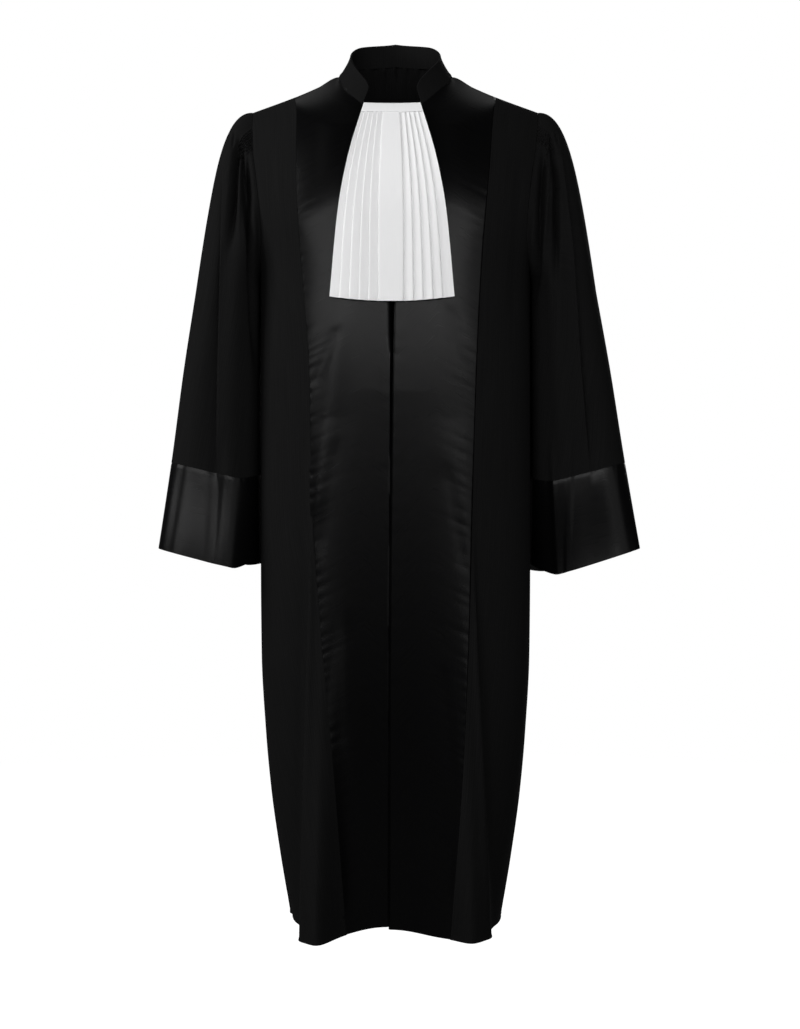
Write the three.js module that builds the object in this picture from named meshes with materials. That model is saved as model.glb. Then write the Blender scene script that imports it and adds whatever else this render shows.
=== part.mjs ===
// A judge's court robe in its worn form, with nobody in it: wool body and sleeves, satin
// facings and cuffs, a stand collar and a white pleated jabot.
// Millimetres, +Z up. The front faces -Y and the wearer's left is +X.
// The origin is the middle of the shoulder line, where the wearer holds the robe up.
import * as THREE from 'three';

// ---- driving dimensions ----
const CLOTH = 2;
const COLLAR_CLOTH = 3;
const SEAM_GAP = 0.4;

const SHOULDER_POINT = 222;
const SHOULDER_POINT_Z = -58;
const NECK_HALF_WIDTH = 88;
const UNDERARM_Z = -325;
const HEM_Z = -1320;
const HEM_RISE_AT_OPENING = 12;
const HEM_RISE_WIDTH = 60;
const OVER_FACING_DROP = 4;

const UNDERLAP = 30;
const UNDERLAP_SINK = 8;
const OPENING_DROP = 70;
const UNDERLAP_DROP = 35;
const COLUMN_SETTLE = 160;
const SETTLE_DROP = 50;

const NECK_HALF_DEPTH = 70;
const NECK_END_ANGLE = 148;
const COLLAR_HEIGHT = 31;
const COLLAR_LEAN = 18;
const COLLAR_DEPTH_LEAN = 6;
const COLLAR_GAP = 0.8;

const ROLL_DROP = 220;
const ROLL_POWER = 1.8;
const SECTION_POWER = 2.4;

const ARMHOLE_STEPS = 12;
const BODY_STEPS = 9;
const FACING_STEPS = 6;
const FRONT_STEPS = 9;
const FRONT_CROWD = 0.35;
const BACK_STEPS = 32;
const SLEEVE_HEAD_STEPS = 6;
const SLEEVE_STEPS = 5;
const CUFF_STEPS = 3;
const COLLAR_ROWS = 3;
const FACING_NECK_SHARE = 0.5;
const BACK_NECK_SHARE = 0.375;

// Horizontal sections of the body: half width, depth in front of and behind the origin,
// and the y where the section is widest.
const BODY = [
  { z: 60, half: 245, front: 112, back: 96, widest: 0 },
  { z: -55, half: 245, front: 122, back: 108, widest: 0 },
  { z: -190, half: 236, front: 132, back: 122, widest: -2 },
  { z: -325, half: 209, front: 140, back: 130, widest: -8 },
  { z: -480, half: 208, front: 142, back: 136, widest: -26 },
  { z: -760, half: 208, front: 142, back: 146, widest: -28 },
  { z: -900, half: 207, front: 142, back: 152, widest: -24 },
  { z: -1020, half: 202, front: 143, back: 160, widest: 0 },
  { z: -1114, half: 195.5, front: 144, back: 167, widest: 28 },
  { z: -1217, half: 183.5, front: 146, back: 176, widest: 58 },
  { z: -1330, half: 167, front: 148, back: 186, widest: 88 },
];

// The height at which the cloth rolls over the shoulder, for each half of the body.
const SHOULDER = [
  { x: 0, front: -30, back: 92 },
  { x: 45, front: -14, back: 70 },
  { x: 88, front: -2, back: -2 },
  { x: 122, front: -19, back: -19 },
  { x: 157, front: -34, back: -34 },
  { x: 222, front: -58, back: -58 },
  { x: 260, front: -72, back: -72 },
];

// The armhole's distance from the middle, on the wearer's right and left.
const ARMHOLE = [
  { z: -58, right: 222, left: 222 },
  { z: -117, right: 220, left: 216 },
  { z: -162, right: 214, left: 209 },
  { z: -229, right: 206.5, left: 201 },
  { z: -256, right: 205.5, left: 200 },
  { z: -290, right: 207, left: 203 },
  { z: -325, right: 209, left: 209 },
];

// The neck seam's height, by the angle from the middle of the back.
const NECK = [
  { angle: 0, z: 31 },
  { angle: 45, z: 23 },
  { angle: 90, z: -2 },
  { angle: 125, z: -29 },
  { angle: 148, z: -54 },
];

// Where the over facing's edge lies across the front.
const OPENING = [
  { z: -54, x: -5 },
  { z: -361, x: -2 },
  { z: -500, x: -4.5 },
  { z: -800, x: -8 },
  { z: -1320, x: -10.5 },
];

// The facing seam's distance from the middle, on the wearer's right and left.
const FACING_SEAM = [
  { z: -31, right: 157, left: 157 },
  { z: -70, right: 151, left: 150 },
  { z: -167, right: 150, left: 142 },
  { z: -287, right: 143, left: 131.5 },
  { z: -470, right: 128.6, left: 122 },
  { z: -662, right: 125, left: 116 },
  { z: -862, right: 110.5, left: 110.5 },
  { z: -1063, right: 92, left: 101 },
  { z: -1320, right: 73, left: 82 },
];

// The width over which the under facing rolls in beneath the other.
const UNDER_ROLL = [
  { z: -54, width: 60 },
  { z: -150, width: 45 },
  { z: -300, width: 14 },
  { z: -1320, width: 12 },
];

// The wool's forward lobe beside each facing: its crest, and how far it stands out on the
// wearer's right and left.
const LOBE = [
  { z: -540, right_x: 104, left_x: 90, right: 0, left: 0 },
  { z: -760, right_x: 107, left_x: 96, right: 7, left: 6 },
  { z: -1000, right_x: 114, left_x: 111, right: 24, left: 19 },
  { z: -1320, right_x: 122, left_x: 121, right: 80, left: 60 },
];
const LOBE_INNER_WIDTH = 30;
const LOBE_OUTER_WIDTH = 25;
const LOBE_OUTER_POWER = 5;

// How far the satin sinks back beside the opening.
const RECESS = [
  { z: -500, sink: 0 },
  { z: -900, sink: 9 },
  { z: -1320, sink: 50 },
];
const RECESS_WIDTH = 70;
const RECESS_POWER = 3;

// Flutes of the back: place across it at the neck and at the hem, width, and how far
// they stand out at the hem.
const BACK_FLUTES = [
  { neck: -0.53, hem: -0.875, width: 0.085, rise: 19 },
  { neck: -0.33, hem: -0.625, width: 0.075, rise: 27 },
  { neck: -0.19, hem: -0.375, width: 0.085, rise: 23 },
  { neck: -0.06, hem: -0.125, width: 0.07, rise: 30 },
  { neck: 0.07, hem: 0.125, width: 0.085, rise: 25 },
  { neck: 0.2, hem: 0.375, width: 0.075, rise: 29 },
  { neck: 0.34, hem: 0.625, width: 0.085, rise: 22 },
  { neck: 0.54, hem: 0.875, width: 0.08, rise: 20 },
];
const FLUTE_START_Z = -20;
const FLUTE_NECK_SHARE = 0.16;

// Sections of the sleeve, square to its fall: outer and inner reach from the robe's middle,
// half depth from front to back, the y of the middle, how far the outer side is above the
// inner.
const SLEEVE = [
  { z: -350, outer: 310, inner: 210, depth: 86, y: 4, tilt: 20 },
  { z: -480, outer: 329.5, inner: 210.5, depth: 90, y: 10, tilt: 26 },
  { z: -620, outer: 347, inner: 210, depth: 92, y: 16, tilt: 32 },
  { z: -756, outer: 365, inner: 209.5, depth: 100, y: 15, tilt: 40 },
];

// The power of a section's curve on each quarter, where 1 is an ellipse and less is squarer.
// The cuff is nearly flat in front and on its outer side, and rounds off towards the body.
const SLEEVE_CURVE = [
  { z: -350, front: 0.6, inner: 0.4, back: 0.62 },
  { z: -480, front: 0.52, inner: 0.36, back: 0.58 },
  { z: -620, front: 0.36, inner: 0.42, back: 0.5 },
  { z: -756, front: 0.25, inner: 0.8, back: 0.44 },
];
const SLEEVE_SIDES = [
  { side: 'right', sign: -1, swing: 0, drop: 0 },
  { side: 'left', sign: 1, swing: 12, drop: 13 },
];
const SLEEVE_CLEARANCE = 3;
const SLEEVE_HUG = 20;
const SLEEVE_HUG_ANGLE = 214;
const SLEEVE_HUG_WIDTH = 26;
const SLEEVE_INNER_LIFT = 28;
const SLEEVE_HEAD_REACH = 46;
const SLEEVE_HEAD_RISE = 3;
const FOLD_START_Z = -120;
const SLEEVE_SLOPE = 0.147;
const CUFF_START_Z = -620;
const PLEAT_DEPTH = 3;

// Folds of the sleeve: angle round it from the outer side by the front, width in degrees,
// and depth below the armhole and at the cuff.
const SLEEVE_FOLDS = [
  { angle: 52, width: 16, top: -2, foot: 1.5 },
  { angle: 84, width: 15, top: -5, foot: -1.5 },
  { angle: 112, width: 13, top: 3, foot: 2 },
  { angle: 136, width: 14, top: -1, foot: -1 },
  { angle: 232, width: 18, top: 4, foot: 6 },
  { angle: 264, width: 17, top: -6, foot: -7 },
  { angle: 300, width: 18, top: 4, foot: 5 },
];

// The jabot: half width at each height, and its pleats.
const JABOT = [
  { z: -57, half: 43 },
  { z: -149, half: 67 },
  { z: -229, half: 81 },
  { z: -361, half: 93.5 },
];
const JABOT_FOOT_Z = -359;
const JABOT_BAND_HEIGHT = 15;
const JABOT_BAND_STEPS = 8;
const JABOT_LIFT = 5;
const JABOT_FLAT_HALF = 57;
const JABOT_FOLD_SHARE = 0.02;
const JABOT_FOOT_BOW = 7.5;
const JABOT_STEPS = 6;
const JABOT_CENTRE_SHARE = 0.16;
const PLEATS_EACH_SIDE = 5;
const JABOT_PLEAT_RISE = 4.5;

const WOOL = new THREE.MeshStandardMaterial({ color: 0x0b0b0c, roughness: 0.9, metalness: 0 });
const SATIN = new THREE.MeshStandardMaterial({ color: 0x0d0d0f, roughness: 0.35, metalness: 0 });
const LINEN = new THREE.MeshStandardMaterial({ color: 0xf2f3f5, roughness: 0.75, metalness: 0 });

// ---- helpers ----
const mix = (a, b, share) => a + (b - a) * share;
const clamp = (value) => Math.min(Math.max(value, 0), 1);
const degrees = (angle) => (angle * Math.PI) / 180;
const hump = (offset, width) => Math.exp(-((offset / width) ** 2));

function ease(value) {
  const share = clamp(value);
  return share * share * (3 - 2 * share);
}

// The value of a table's column at a place along its key, on a smooth curve through the rows
// that never passes them.
function along(rows, key, column, at) {
  const step = rows[1][key] > rows[0][key] ? 1 : -1;
  let index = 0;
  while (index < rows.length - 2 && (at - rows[index + 1][key]) * step > 0) index += 1;
  const slope = (i) => (rows[i + 1][column] - rows[i][column]) / (rows[i + 1][key] - rows[i][key]);
  const tangent = (i) => {
    if (i <= 0) return slope(0);
    if (i >= rows.length - 1) return slope(rows.length - 2);
    const [before, after] = [slope(i - 1), slope(i)];
    return before * after <= 0 ? 0 : (2 * before * after) / (before + after);
  };
  const [low, high] = [rows[index], rows[index + 1]];
  const span = high[key] - low[key];
  const share = clamp((at - low[key]) / span);
  const square = share * share;
  const cube = square * share;
  return (2 * cube - 3 * square + 1) * low[column]
    + (cube - 2 * square + share) * span * tangent(index)
    + (3 * square - 2 * cube) * high[column]
    + (cube - square) * span * tangent(index + 1);
}

// A sheet of cloth as a closed wall: a grid of outer points, and the same grid moved in by
// the cloth's thickness. Rows run down and columns run to the right of whoever faces the
// sheet; a ring's last column joins its first. settleNormal may turn the way the wall thickens.
function wall(name, points, material, options = {}) {
  const { thickness = CLOTH, ring = false, settleNormal = (normal) => normal } = options;
  const rows = points.length;
  const columns = points[0].length;
  const pick = (row, column) => {
    const at = ring ? (column + columns) % columns : Math.min(Math.max(column, 0), columns - 1);
    return points[Math.min(Math.max(row, 0), rows - 1)][at];
  };
  const inner = points.map((line, row) => line.map((point, column) => {
    const across = pick(row, column + 1).clone().sub(pick(row, column - 1));
    const down = pick(row + 1, column).clone().sub(pick(row - 1, column));
    const normal = settleNormal(down.cross(across).normalize(), point, row);
    return point.clone().addScaledVector(normal, -thickness);
  }));
  const positions = [];
  for (const point of [...points.flat(), ...inner.flat()]) positions.push(point.x, point.y, point.z);
  const outerAt = (row, column) => row * columns + (column % columns);
  const innerAt = (row, column) => rows * columns + outerAt(row, column);
  const faces = [];
  const quad = (a, b, c, d) => faces.push(a, b, c, a, c, d);
  const spans = ring ? columns : columns - 1;
  const foot = rows - 1;
  const edge = columns - 1;
  for (let column = 0; column < spans; column += 1) {
    const next = column + 1;
    for (let row = 0; row < foot; row += 1) {
      const below = row + 1;
      quad(outerAt(row, column), outerAt(below, column), outerAt(below, next), outerAt(row, next));
      quad(innerAt(row, column), innerAt(row, next), innerAt(below, next), innerAt(below, column));
    }
    quad(outerAt(0, column), outerAt(0, next), innerAt(0, next), innerAt(0, column));
    quad(outerAt(foot, next), outerAt(foot, column), innerAt(foot, column), innerAt(foot, next));
  }
  for (let row = 0; row < foot && !ring; row += 1) {
    const below = row + 1;
    quad(outerAt(row, 0), innerAt(row, 0), innerAt(below, 0), outerAt(below, 0));
    quad(outerAt(row, edge), outerAt(below, edge), innerAt(below, edge), innerAt(row, edge));
  }
  const geometry = new THREE.BufferGeometry();
  geometry.setAttribute('position', new THREE.Float32BufferAttribute(positions, 3));
  geometry.setIndex(faces);
  geometry.computeVertexNormals();
  const mesh = new THREE.Mesh(geometry, material);
  mesh.name = name;
  return mesh;
}

function grid(rows, columns, pointAt) {
  const lines = [];
  for (let row = 0; row <= rows; row += 1) {
    const line = [];
    for (let column = 0; column <= columns; column += 1) line.push(pointAt(row, column));
    lines.push(line);
  }
  return lines;
}

// ---- the body's form ----
const PANEL_ROWS = ARMHOLE_STEPS + BODY_STEPS;

// Every panel's rows meet its neighbours' at the seams: those above the underarm close up
// towards the shoulder and the underarm, and those below are level.
function rowHeight(row, top, hem) {
  if (row <= ARMHOLE_STEPS) {
    const share = (1 - Math.cos((Math.PI * row) / ARMHOLE_STEPS)) / 2;
    return mix(top, UNDERARM_Z, share);
  }
  return mix(UNDERARM_Z, hem, (row - ARMHOLE_STEPS) / BODY_STEPS);
}

function bodyY(face, x, z) {
  const half = along(BODY, 'z', 'half', z);
  const widest = along(BODY, 'z', 'widest', z);
  const depth = along(BODY, 'z', face < 0 ? 'front' : 'back', z);
  const share = Math.min(Math.abs(x) / half, 1);
  const round = (1 - share ** SECTION_POWER) ** (1 / SECTION_POWER);
  const shoulder = along(SHOULDER, 'x', face < 0 ? 'front' : 'back', Math.abs(x));
  const fall = clamp((shoulder - z) / ROLL_DROP);
  const roll = (1 - (1 - fall) ** ROLL_POWER) ** (1 / ROLL_POWER);
  return (widest + (face * depth - widest) * round) * roll;
}

// How far from the middle the body's side reaches at a depth and height.
function bodyHalfWidth(y, z) {
  const half = along(BODY, 'z', 'half', z);
  const widest = along(BODY, 'z', 'widest', z);
  const reach = y < widest ? along(BODY, 'z', 'front', z) + widest : along(BODY, 'z', 'back', z) - widest;
  const share = Math.min(Math.abs(y - widest) / reach, 1);
  return half * (1 - share ** SECTION_POWER) ** (1 / SECTION_POWER);
}

// The side edge of a panel: the armhole down to the underarm, then the side seam.
function edgeX(sign, z) {
  if (z <= UNDERARM_Z) return along(BODY, 'z', 'half', z);
  return along(ARMHOLE, 'z', sign > 0 ? 'left' : 'right', z);
}

// The turn round a section, from its middle to the panel's side edge. Columns spread by a
// smooth turn on their way down, and only those beside the edge follow the armhole.
const COLUMN_TURN = [
  { z: 60, turn: 63 },
  { z: -230, turn: 65 },
  { z: -325, turn: 74 },
  { z: -600, turn: 90 },
];
const EDGE_POWER = 4;

function acrossAt(sign, share, first, z) {
  const half = along(BODY, 'z', 'half', z);
  const edge = Math.asin(Math.min(edgeX(sign, z) / half, 1));
  const smooth = degrees(along(COLUMN_TURN, 'z', 'turn', z));
  return sign * half * Math.sin(mix(first, smooth, share) + (edge - smooth) * share ** EDGE_POWER);
}

// The neck seam, by the angle from the middle of the back; its front ends follow the opening.
function neckPoint(angle) {
  const turn = degrees(angle);
  const shift = OPENING[0].x * ease((Math.abs(angle) - 90) / 50);
  const x = NECK_HALF_WIDTH * Math.sin(turn) + shift;
  const y = NECK_HALF_DEPTH * Math.cos(turn);
  return new THREE.Vector3(x, y, along(NECK, 'angle', 'z', Math.abs(angle)));
}

const openingX = (z) => along(OPENING, 'z', 'x', z);

function hemHeight(sign, x) {
  const rise = HEM_RISE_AT_OPENING - (sign > 0 ? OVER_FACING_DROP : 0);
  return HEM_Z + rise * hump(x - openingX(HEM_Z), HEM_RISE_WIDTH);
}

// The front's lobes and the hollow between them, as a move towards the front.
function frontFolds(x, z) {
  const side = x > 0 ? 'left' : 'right';
  const offset = Math.abs(x) - along(LOBE, 'z', `${side}_x`, z);
  const outer = Math.exp(-((Math.max(offset, 0) / LOBE_OUTER_WIDTH) ** LOBE_OUTER_POWER));
  const lobe = along(LOBE, 'z', side, z) * (offset > 0 ? outer : hump(offset, LOBE_INNER_WIDTH));
  const aside = Math.abs(x - openingX(z)) / RECESS_WIDTH;
  return lobe - along(RECESS, 'z', 'sink', z) * Math.exp(-(aside ** RECESS_POWER));
}

// A column starts on its edge and settles onto the body's form on its way down.
function settle(face, start, x, z) {
  const offset = start.y - bodyY(face, start.x, start.z);
  return bodyY(face, x, z) + offset * hump(start.z - z, SETTLE_DROP);
}

// On the shoulder the two halves' edges stand upright, side by side.
function shoulderNormal(normal, point, row) {
  return row === 0 && Math.abs(point.x) > NECK_HALF_WIDTH - 0.5 ? new THREE.Vector3(0, 0, 1) : normal;
}

// At a side seam both halves' edges face straight out.
function sideNormal(normal, point, row) {
  const atSide = row >= ARMHOLE_STEPS && Math.abs(point.x) >= along(BODY, 'z', 'half', point.z) - 0.01;
  return atSide ? normal.setY(0).normalize() : shoulderNormal(normal, point, row);
}

// Both sides of a facing seam thicken the same way, by the slope of the form under them.
function frontNormal(normal, point, row) {
  if (row === 0 || Math.abs(point.x) > FACING_SEAM[0].left + 8) return sideNormal(normal, point, row);
  const form = (x, z) => bodyY(-1, x, z) - frontFolds(x, z);
  const across = (form(point.x + 1, point.z) - form(point.x - 1, point.z)) / 2;
  const down = (form(point.x, point.z + 1) - form(point.x, point.z - 1)) / 2;
  return new THREE.Vector3(across, -1, down).normalize();
}

// A panel of the wearer's right or left front, whose columns run out from the middle.
function frontPanel(sign, name, steps, material, pointAt) {
  const points = grid(PANEL_ROWS, steps, (row, column) => pointAt(row, column / steps));
  if (sign < 0) for (const line of points) line.reverse();
  return wall(name, points, material, { settleNormal: frontNormal });
}

// ---- satin facings ----
function facingEdge(sign, start, z) {
  const over = openingX(z) + (sign > 0 ? 0 : UNDERLAP);
  return mix(start.x, over, ease((start.z - z) / OPENING_DROP));
}

function seamX(sign, z) {
  return sign * along(FACING_SEAM, 'z', sign > 0 ? 'left' : 'right', z);
}

function facingTop(sign, share) {
  if (share <= FACING_NECK_SHARE) {
    const onNeck = share / FACING_NECK_SHARE;
    const point = neckPoint(sign * mix(NECK_END_ANGLE, 90, onNeck));
    return point.setY(point.y - SEAM_GAP * onNeck);
  }
  const onShoulder = (share - FACING_NECK_SHARE) / (1 - FACING_NECK_SHARE);
  const x = mix(NECK_HALF_WIDTH, FACING_SEAM[0].left - SEAM_GAP, onShoulder);
  return new THREE.Vector3(sign * x, -SEAM_GAP, along(SHOULDER, 'x', 'front', x));
}

function facing(sign, name) {
  return frontPanel(sign, name, FACING_STEPS, SATIN, (row, share) => {
    const top = facingTop(sign, share);
    const edgeTop = facingTop(sign, 0);
    const level = (z) => mix(facingEdge(sign, edgeTop, z), seamX(sign, z) - sign * SEAM_GAP, share);
    const z = rowHeight(row, top.z, hemHeight(sign, level(HEM_Z)));
    const x = mix(top.x - level(top.z), 0, ease((top.z - z) / COLUMN_SETTLE)) + level(z);
    const rollIn = ease((x - openingX(z)) / along(UNDER_ROLL, 'z', 'width', z) + 1);
    const under = sign < 0 ? rollIn * ease((top.z - z) / UNDERLAP_DROP) : 0;
    const y = settle(-1, top, x, z) - frontFolds(x, z) + UNDERLAP_SINK * under;
    return new THREE.Vector3(x, y, z);
  });
}

// ---- wool fronts ----
function front(sign, name) {
  const across = (z, share) => {
    const seam = Math.abs(seamX(sign, z)) + SEAM_GAP / 2;
    return acrossAt(sign, share, Math.asin(seam / along(BODY, 'z', 'half', z)), z);
  };
  return frontPanel(sign, name, FRONT_STEPS, WOOL, (row, step) => {
    const share = step + (FRONT_CROWD * Math.sin(2 * Math.PI * step)) / (2 * Math.PI);
    const topX = mix(Math.abs(seamX(sign, 0)) + SEAM_GAP / 2, SHOULDER_POINT, share);
    const top = new THREE.Vector3(sign * topX, -SEAM_GAP, along(SHOULDER, 'x', 'front', topX));
    const z = rowHeight(row, top.z, hemHeight(sign, across(HEM_Z, share)));
    const x = mix(top.x - across(top.z, share), 0, ease((top.z - z) / COLUMN_SETTLE)) + across(z, share);
    const sideGap = share === 1 ? SEAM_GAP / 2 : 0;
    const y = settle(-1, top, x, z) - frontFolds(x, z) - sideGap;
    return new THREE.Vector3(x, y, z);
  });
}

// ---- back ----
function backFlutes(across, z, top) {
  const fall = clamp((FLUTE_START_Z + top - z) / (FLUTE_START_Z + top - HEM_Z));
  const share = mix(FLUTE_NECK_SHARE, 1, fall ** 0.8) * ease((top - z) / 40);
  let rise = 0;
  for (const flute of BACK_FLUTES) {
    const at = mix(flute.neck, flute.hem, ease(fall * 1.6));
    rise += flute.rise * hump(across - at, flute.width * mix(0.75, 1, fall));
  }
  return rise * share;
}

function back() {
  const columns = BACK_STEPS;
  const points = grid(PANEL_ROWS, columns, (row, column) => {
    const across = 1 - (2 * column) / columns;
    const reach = Math.abs(across);
    const sign = Math.sign(across);
    let top;
    if (reach <= BACK_NECK_SHARE) {
      top = neckPoint((90 * across) / BACK_NECK_SHARE);
      top.y += (SEAM_GAP * reach) / BACK_NECK_SHARE;
    } else {
      const x = mix(NECK_HALF_WIDTH, SHOULDER_POINT, (reach - BACK_NECK_SHARE) / (1 - BACK_NECK_SHARE));
      top = new THREE.Vector3(sign * x, SEAM_GAP, along(SHOULDER, 'x', 'back', x));
    }
    const z = rowHeight(row, top.z, HEM_Z);
    const level = (height) => acrossAt(sign, reach, 0, height);
    const x = mix(top.x - level(top.z), 0, ease((top.z - z) / COLUMN_SETTLE)) + level(z);
    const edgeFade = ease((1 - reach) / 0.1);
    const sideGap = reach === 1 ? SEAM_GAP / 2 : 0;
    const y = settle(1, top, x, z) + backFlutes(across, z, top.z) * edgeFade + sideGap;
    return new THREE.Vector3(x, y, z);
  });
  return wall('back', points, WOOL, { settleNormal: sideNormal });
}

// ---- sleeves and cuffs ----
// The angle goes round the sleeve from its outer side by the front, with x out from the robe.
const SLEEVE_COLUMNS = 2 * ARMHOLE_STEPS;

function armholePoint(sign, angle) {
  const share = angle <= 180 ? angle / 180 : 2 - angle / 180;
  const face = angle <= 180 ? -1 : 1;
  const z = rowHeight(Math.round(share * ARMHOLE_STEPS), SHOULDER_POINT_Z, HEM_Z);
  const x = edgeX(sign, z);
  return new THREE.Vector3(x + SEAM_GAP, bodyY(face, x, z), z);
}

function sleeveFall(z) {
  return clamp((SLEEVE[0].z - z) / (SLEEVE[0].z - SLEEVE.at(-1).z));
}

function sleeveSection(angle, z, { swing, drop }) {
  const turn = degrees(angle);
  const part = (column) => along(SLEEVE, 'z', column, z);
  const outward = (1 + Math.cos(turn)) / 2;
  const outer = part('outer') + swing * mix(0.15, 1, sleeveFall(z));
  const hug = SLEEVE_HUG * hump(angle - SLEEVE_HUG_ANGLE, SLEEVE_HUG_WIDTH);
  const x = mix(part('inner'), outer, outward) - hug;
  const quarter = Math.cos(turn) > 0 ? 'front' : 'inner';
  const curve = along(SLEEVE_CURVE, 'z', Math.sin(turn) > 0 ? quarter : 'back', z);
  const round = Math.sign(Math.sin(turn)) * Math.abs(Math.sin(turn)) ** curve;
  const y = part('y') - part('depth') * round;
  const lift = SLEEVE_INNER_LIFT * clamp((0.25 - outward) / 0.25) ** 1.5 - drop * (1 - outward);
  return new THREE.Vector3(x, y, z + part('tilt') * (outward - 0.5) + lift * sleeveFall(z) ** 2);
}

// From the armhole the cloth runs out, then falls into the first section.
function sleeveHead(angle, share, sleeve) {
  const from = armholePoint(sleeve.sign, angle);
  const to = sleeveSection(angle, SLEEVE[0].z, sleeve);
  const outward = (1 + Math.cos(degrees(angle))) / 2;
  const leave = new THREE.Vector3(
    from.x + 1 + SLEEVE_HEAD_REACH * outward ** 1.5,
    from.y * mix(1, 1.14, outward),
    from.z + SLEEVE_HEAD_RISE * outward,
  );
  const lift = 0.62 * (from.z - to.z);
  const arrive = new THREE.Vector3(to.x - SLEEVE_SLOPE * lift * outward, to.y, to.z + lift);
  return new THREE.CubicBezierCurve3(from, leave, arrive, to).getPoint(share);
}

function sleeveFold(angle, z) {
  const fall = clamp((z - FOLD_START_Z) / (SLEEVE.at(-1).z - FOLD_START_Z));
  const depths = SLEEVE_FOLDS.map(
    (fold) => mix(fold.top, fold.foot, fall) * hump(angle - fold.angle, fold.width),
  );
  return depths.reduce((sum, depth) => sum + depth, 0) * ease(fall * 6);
}

// Pleats of the sleeve head, which fan out from the seam at the top.
function headPleat(column, share) {
  const outward = (1 + Math.cos(degrees((360 * column) / SLEEVE_COLUMNS))) / 2;
  const way = column % 2 === 0 ? 1 : -1;
  return way * PLEAT_DEPTH * ease((outward - 0.3) / 0.4) * ease(share * 8) * ease(2 - share * 3.2);
}

function sleevePoint(sleeve, column, point, rise) {
  const turn = degrees((360 * column) / SLEEVE_COLUMNS);
  const out = new THREE.Vector3(Math.cos(turn), -Math.sin(turn), 0);
  const moved = point.clone().addScaledVector(out, rise);
  const side = Math.min(bodyHalfWidth(moved.y, moved.z), edgeX(sleeve.sign, moved.z));
  moved.x = Math.max(moved.x, side + SLEEVE_CLEARANCE * ease((UNDERARM_Z + 25 - moved.z) / 50) + SEAM_GAP);
  moved.x *= sleeve.sign;
  return moved;
}

function sleeveGrid(sleeve, rows, pointAt) {
  const points = grid(rows, SLEEVE_COLUMNS - 1, pointAt);
  if (sleeve.sign > 0) for (const line of points) line.reverse();
  return points;
}

function armholeNormal(normal, point, row) {
  return row === 0 ? new THREE.Vector3(0, normal.y, normal.z).normalize() : normal;
}

function sleeveTube(sleeve) {
  const points = sleeveGrid(sleeve, SLEEVE_HEAD_STEPS + SLEEVE_STEPS, (row, column) => {
    const angle = (360 * column) / SLEEVE_COLUMNS;
    if (row === 0) {
      const seam = armholePoint(sleeve.sign, angle);
      seam.x *= sleeve.sign;
      return seam;
    }
    if (row < SLEEVE_HEAD_STEPS) {
      const share = (row / SLEEVE_HEAD_STEPS) ** 1.2;
      const point = sleeveHead(angle, share, sleeve);
      return sleevePoint(sleeve, column, point, headPleat(column, share) + sleeveFold(angle, point.z));
    }
    const z = mix(SLEEVE[0].z, CUFF_START_Z, (row - SLEEVE_HEAD_STEPS) / SLEEVE_STEPS);
    return sleevePoint(sleeve, column, sleeveSection(angle, z, sleeve), sleeveFold(angle, z));
  });
  return wall(`sleeve_${sleeve.side}`, points, WOOL, { ring: true, settleNormal: armholeNormal });
}

function cuff(sleeve) {
  const points = sleeveGrid(sleeve, CUFF_STEPS, (row, column) => {
    const angle = (360 * column) / SLEEVE_COLUMNS;
    const z = mix(CUFF_START_Z - SEAM_GAP, SLEEVE.at(-1).z, row / CUFF_STEPS);
    return sleevePoint(sleeve, column, sleeveSection(angle, z, sleeve), sleeveFold(angle, z));
  });
  return wall(`cuff_${sleeve.side}`, points, SATIN, { ring: true });
}

// ---- collar ----
// The collar's columns meet those of the panels under it.
function neckStops() {
  const front = Math.round(FACING_STEPS * FACING_NECK_SHARE);
  const behind = Math.round(BACK_STEPS * BACK_NECK_SHARE);
  const stops = [];
  for (let step = 0; step < front; step += 1) stops.push(mix(NECK_END_ANGLE, 90, step / front));
  for (let step = 0; step <= behind; step += 1) stops.push(mix(90, -90, step / behind));
  for (let step = 1; step <= front; step += 1) stops.push(mix(-90, -NECK_END_ANGLE, step / front));
  return stops;
}

function collar() {
  const stops = neckStops();
  const level = (normal, point, row) => (row === COLLAR_ROWS ? normal.setZ(0).normalize() : normal);
  const points = grid(COLLAR_ROWS, stops.length - 1, (row, column) => {
    const foot = neckPoint(stops[column]);
    const share = 1 - row / COLLAR_ROWS;
    const lean = 1 - (1 - share) ** 1.4;
    const x = foot.x * (1 - (COLLAR_LEAN / NECK_HALF_WIDTH) * lean);
    const y = foot.y * (1 - (COLLAR_DEPTH_LEAN / NECK_HALF_DEPTH) * lean);
    return new THREE.Vector3(x, y, foot.z + COLLAR_GAP + COLLAR_HEIGHT * share);
  });
  return wall('collar', points, WOOL, { thickness: COLLAR_CLOTH, settleNormal: level });
}

// ---- jabot ----
// Knife pleats laid outwards from a flat middle: each runs from under its neighbour's fold
// up to its own.
function jabotColumns() {
  const width = (1 - JABOT_CENTRE_SHARE) / PLEATS_EACH_SIDE;
  const half = [{ share: JABOT_CENTRE_SHARE, rise: 1 }];
  for (let pleat = 0; pleat < PLEATS_EACH_SIDE; pleat += 1) {
    const from = JABOT_CENTRE_SHARE + pleat * width;
    half.push({ share: from + JABOT_FOLD_SHARE, rise: 0 }, { share: from + width, rise: 1 });
  }
  const mirrored = half.map(({ share, rise }) => ({ share: -share, rise })).reverse();
  return [...mirrored, ...half];
}

function jabotPoint(share, rise, z) {
  const x = OPENING[0].x + share * along(JABOT, 'z', 'half', z);
  const chest = bodyY(-1, Math.max(Math.abs(x), JABOT_FLAT_HALF), z);
  return new THREE.Vector3(x, chest - JABOT_LIFT - rise, z);
}

const towardsFront = () => new THREE.Vector3(0, -1, 0);

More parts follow.
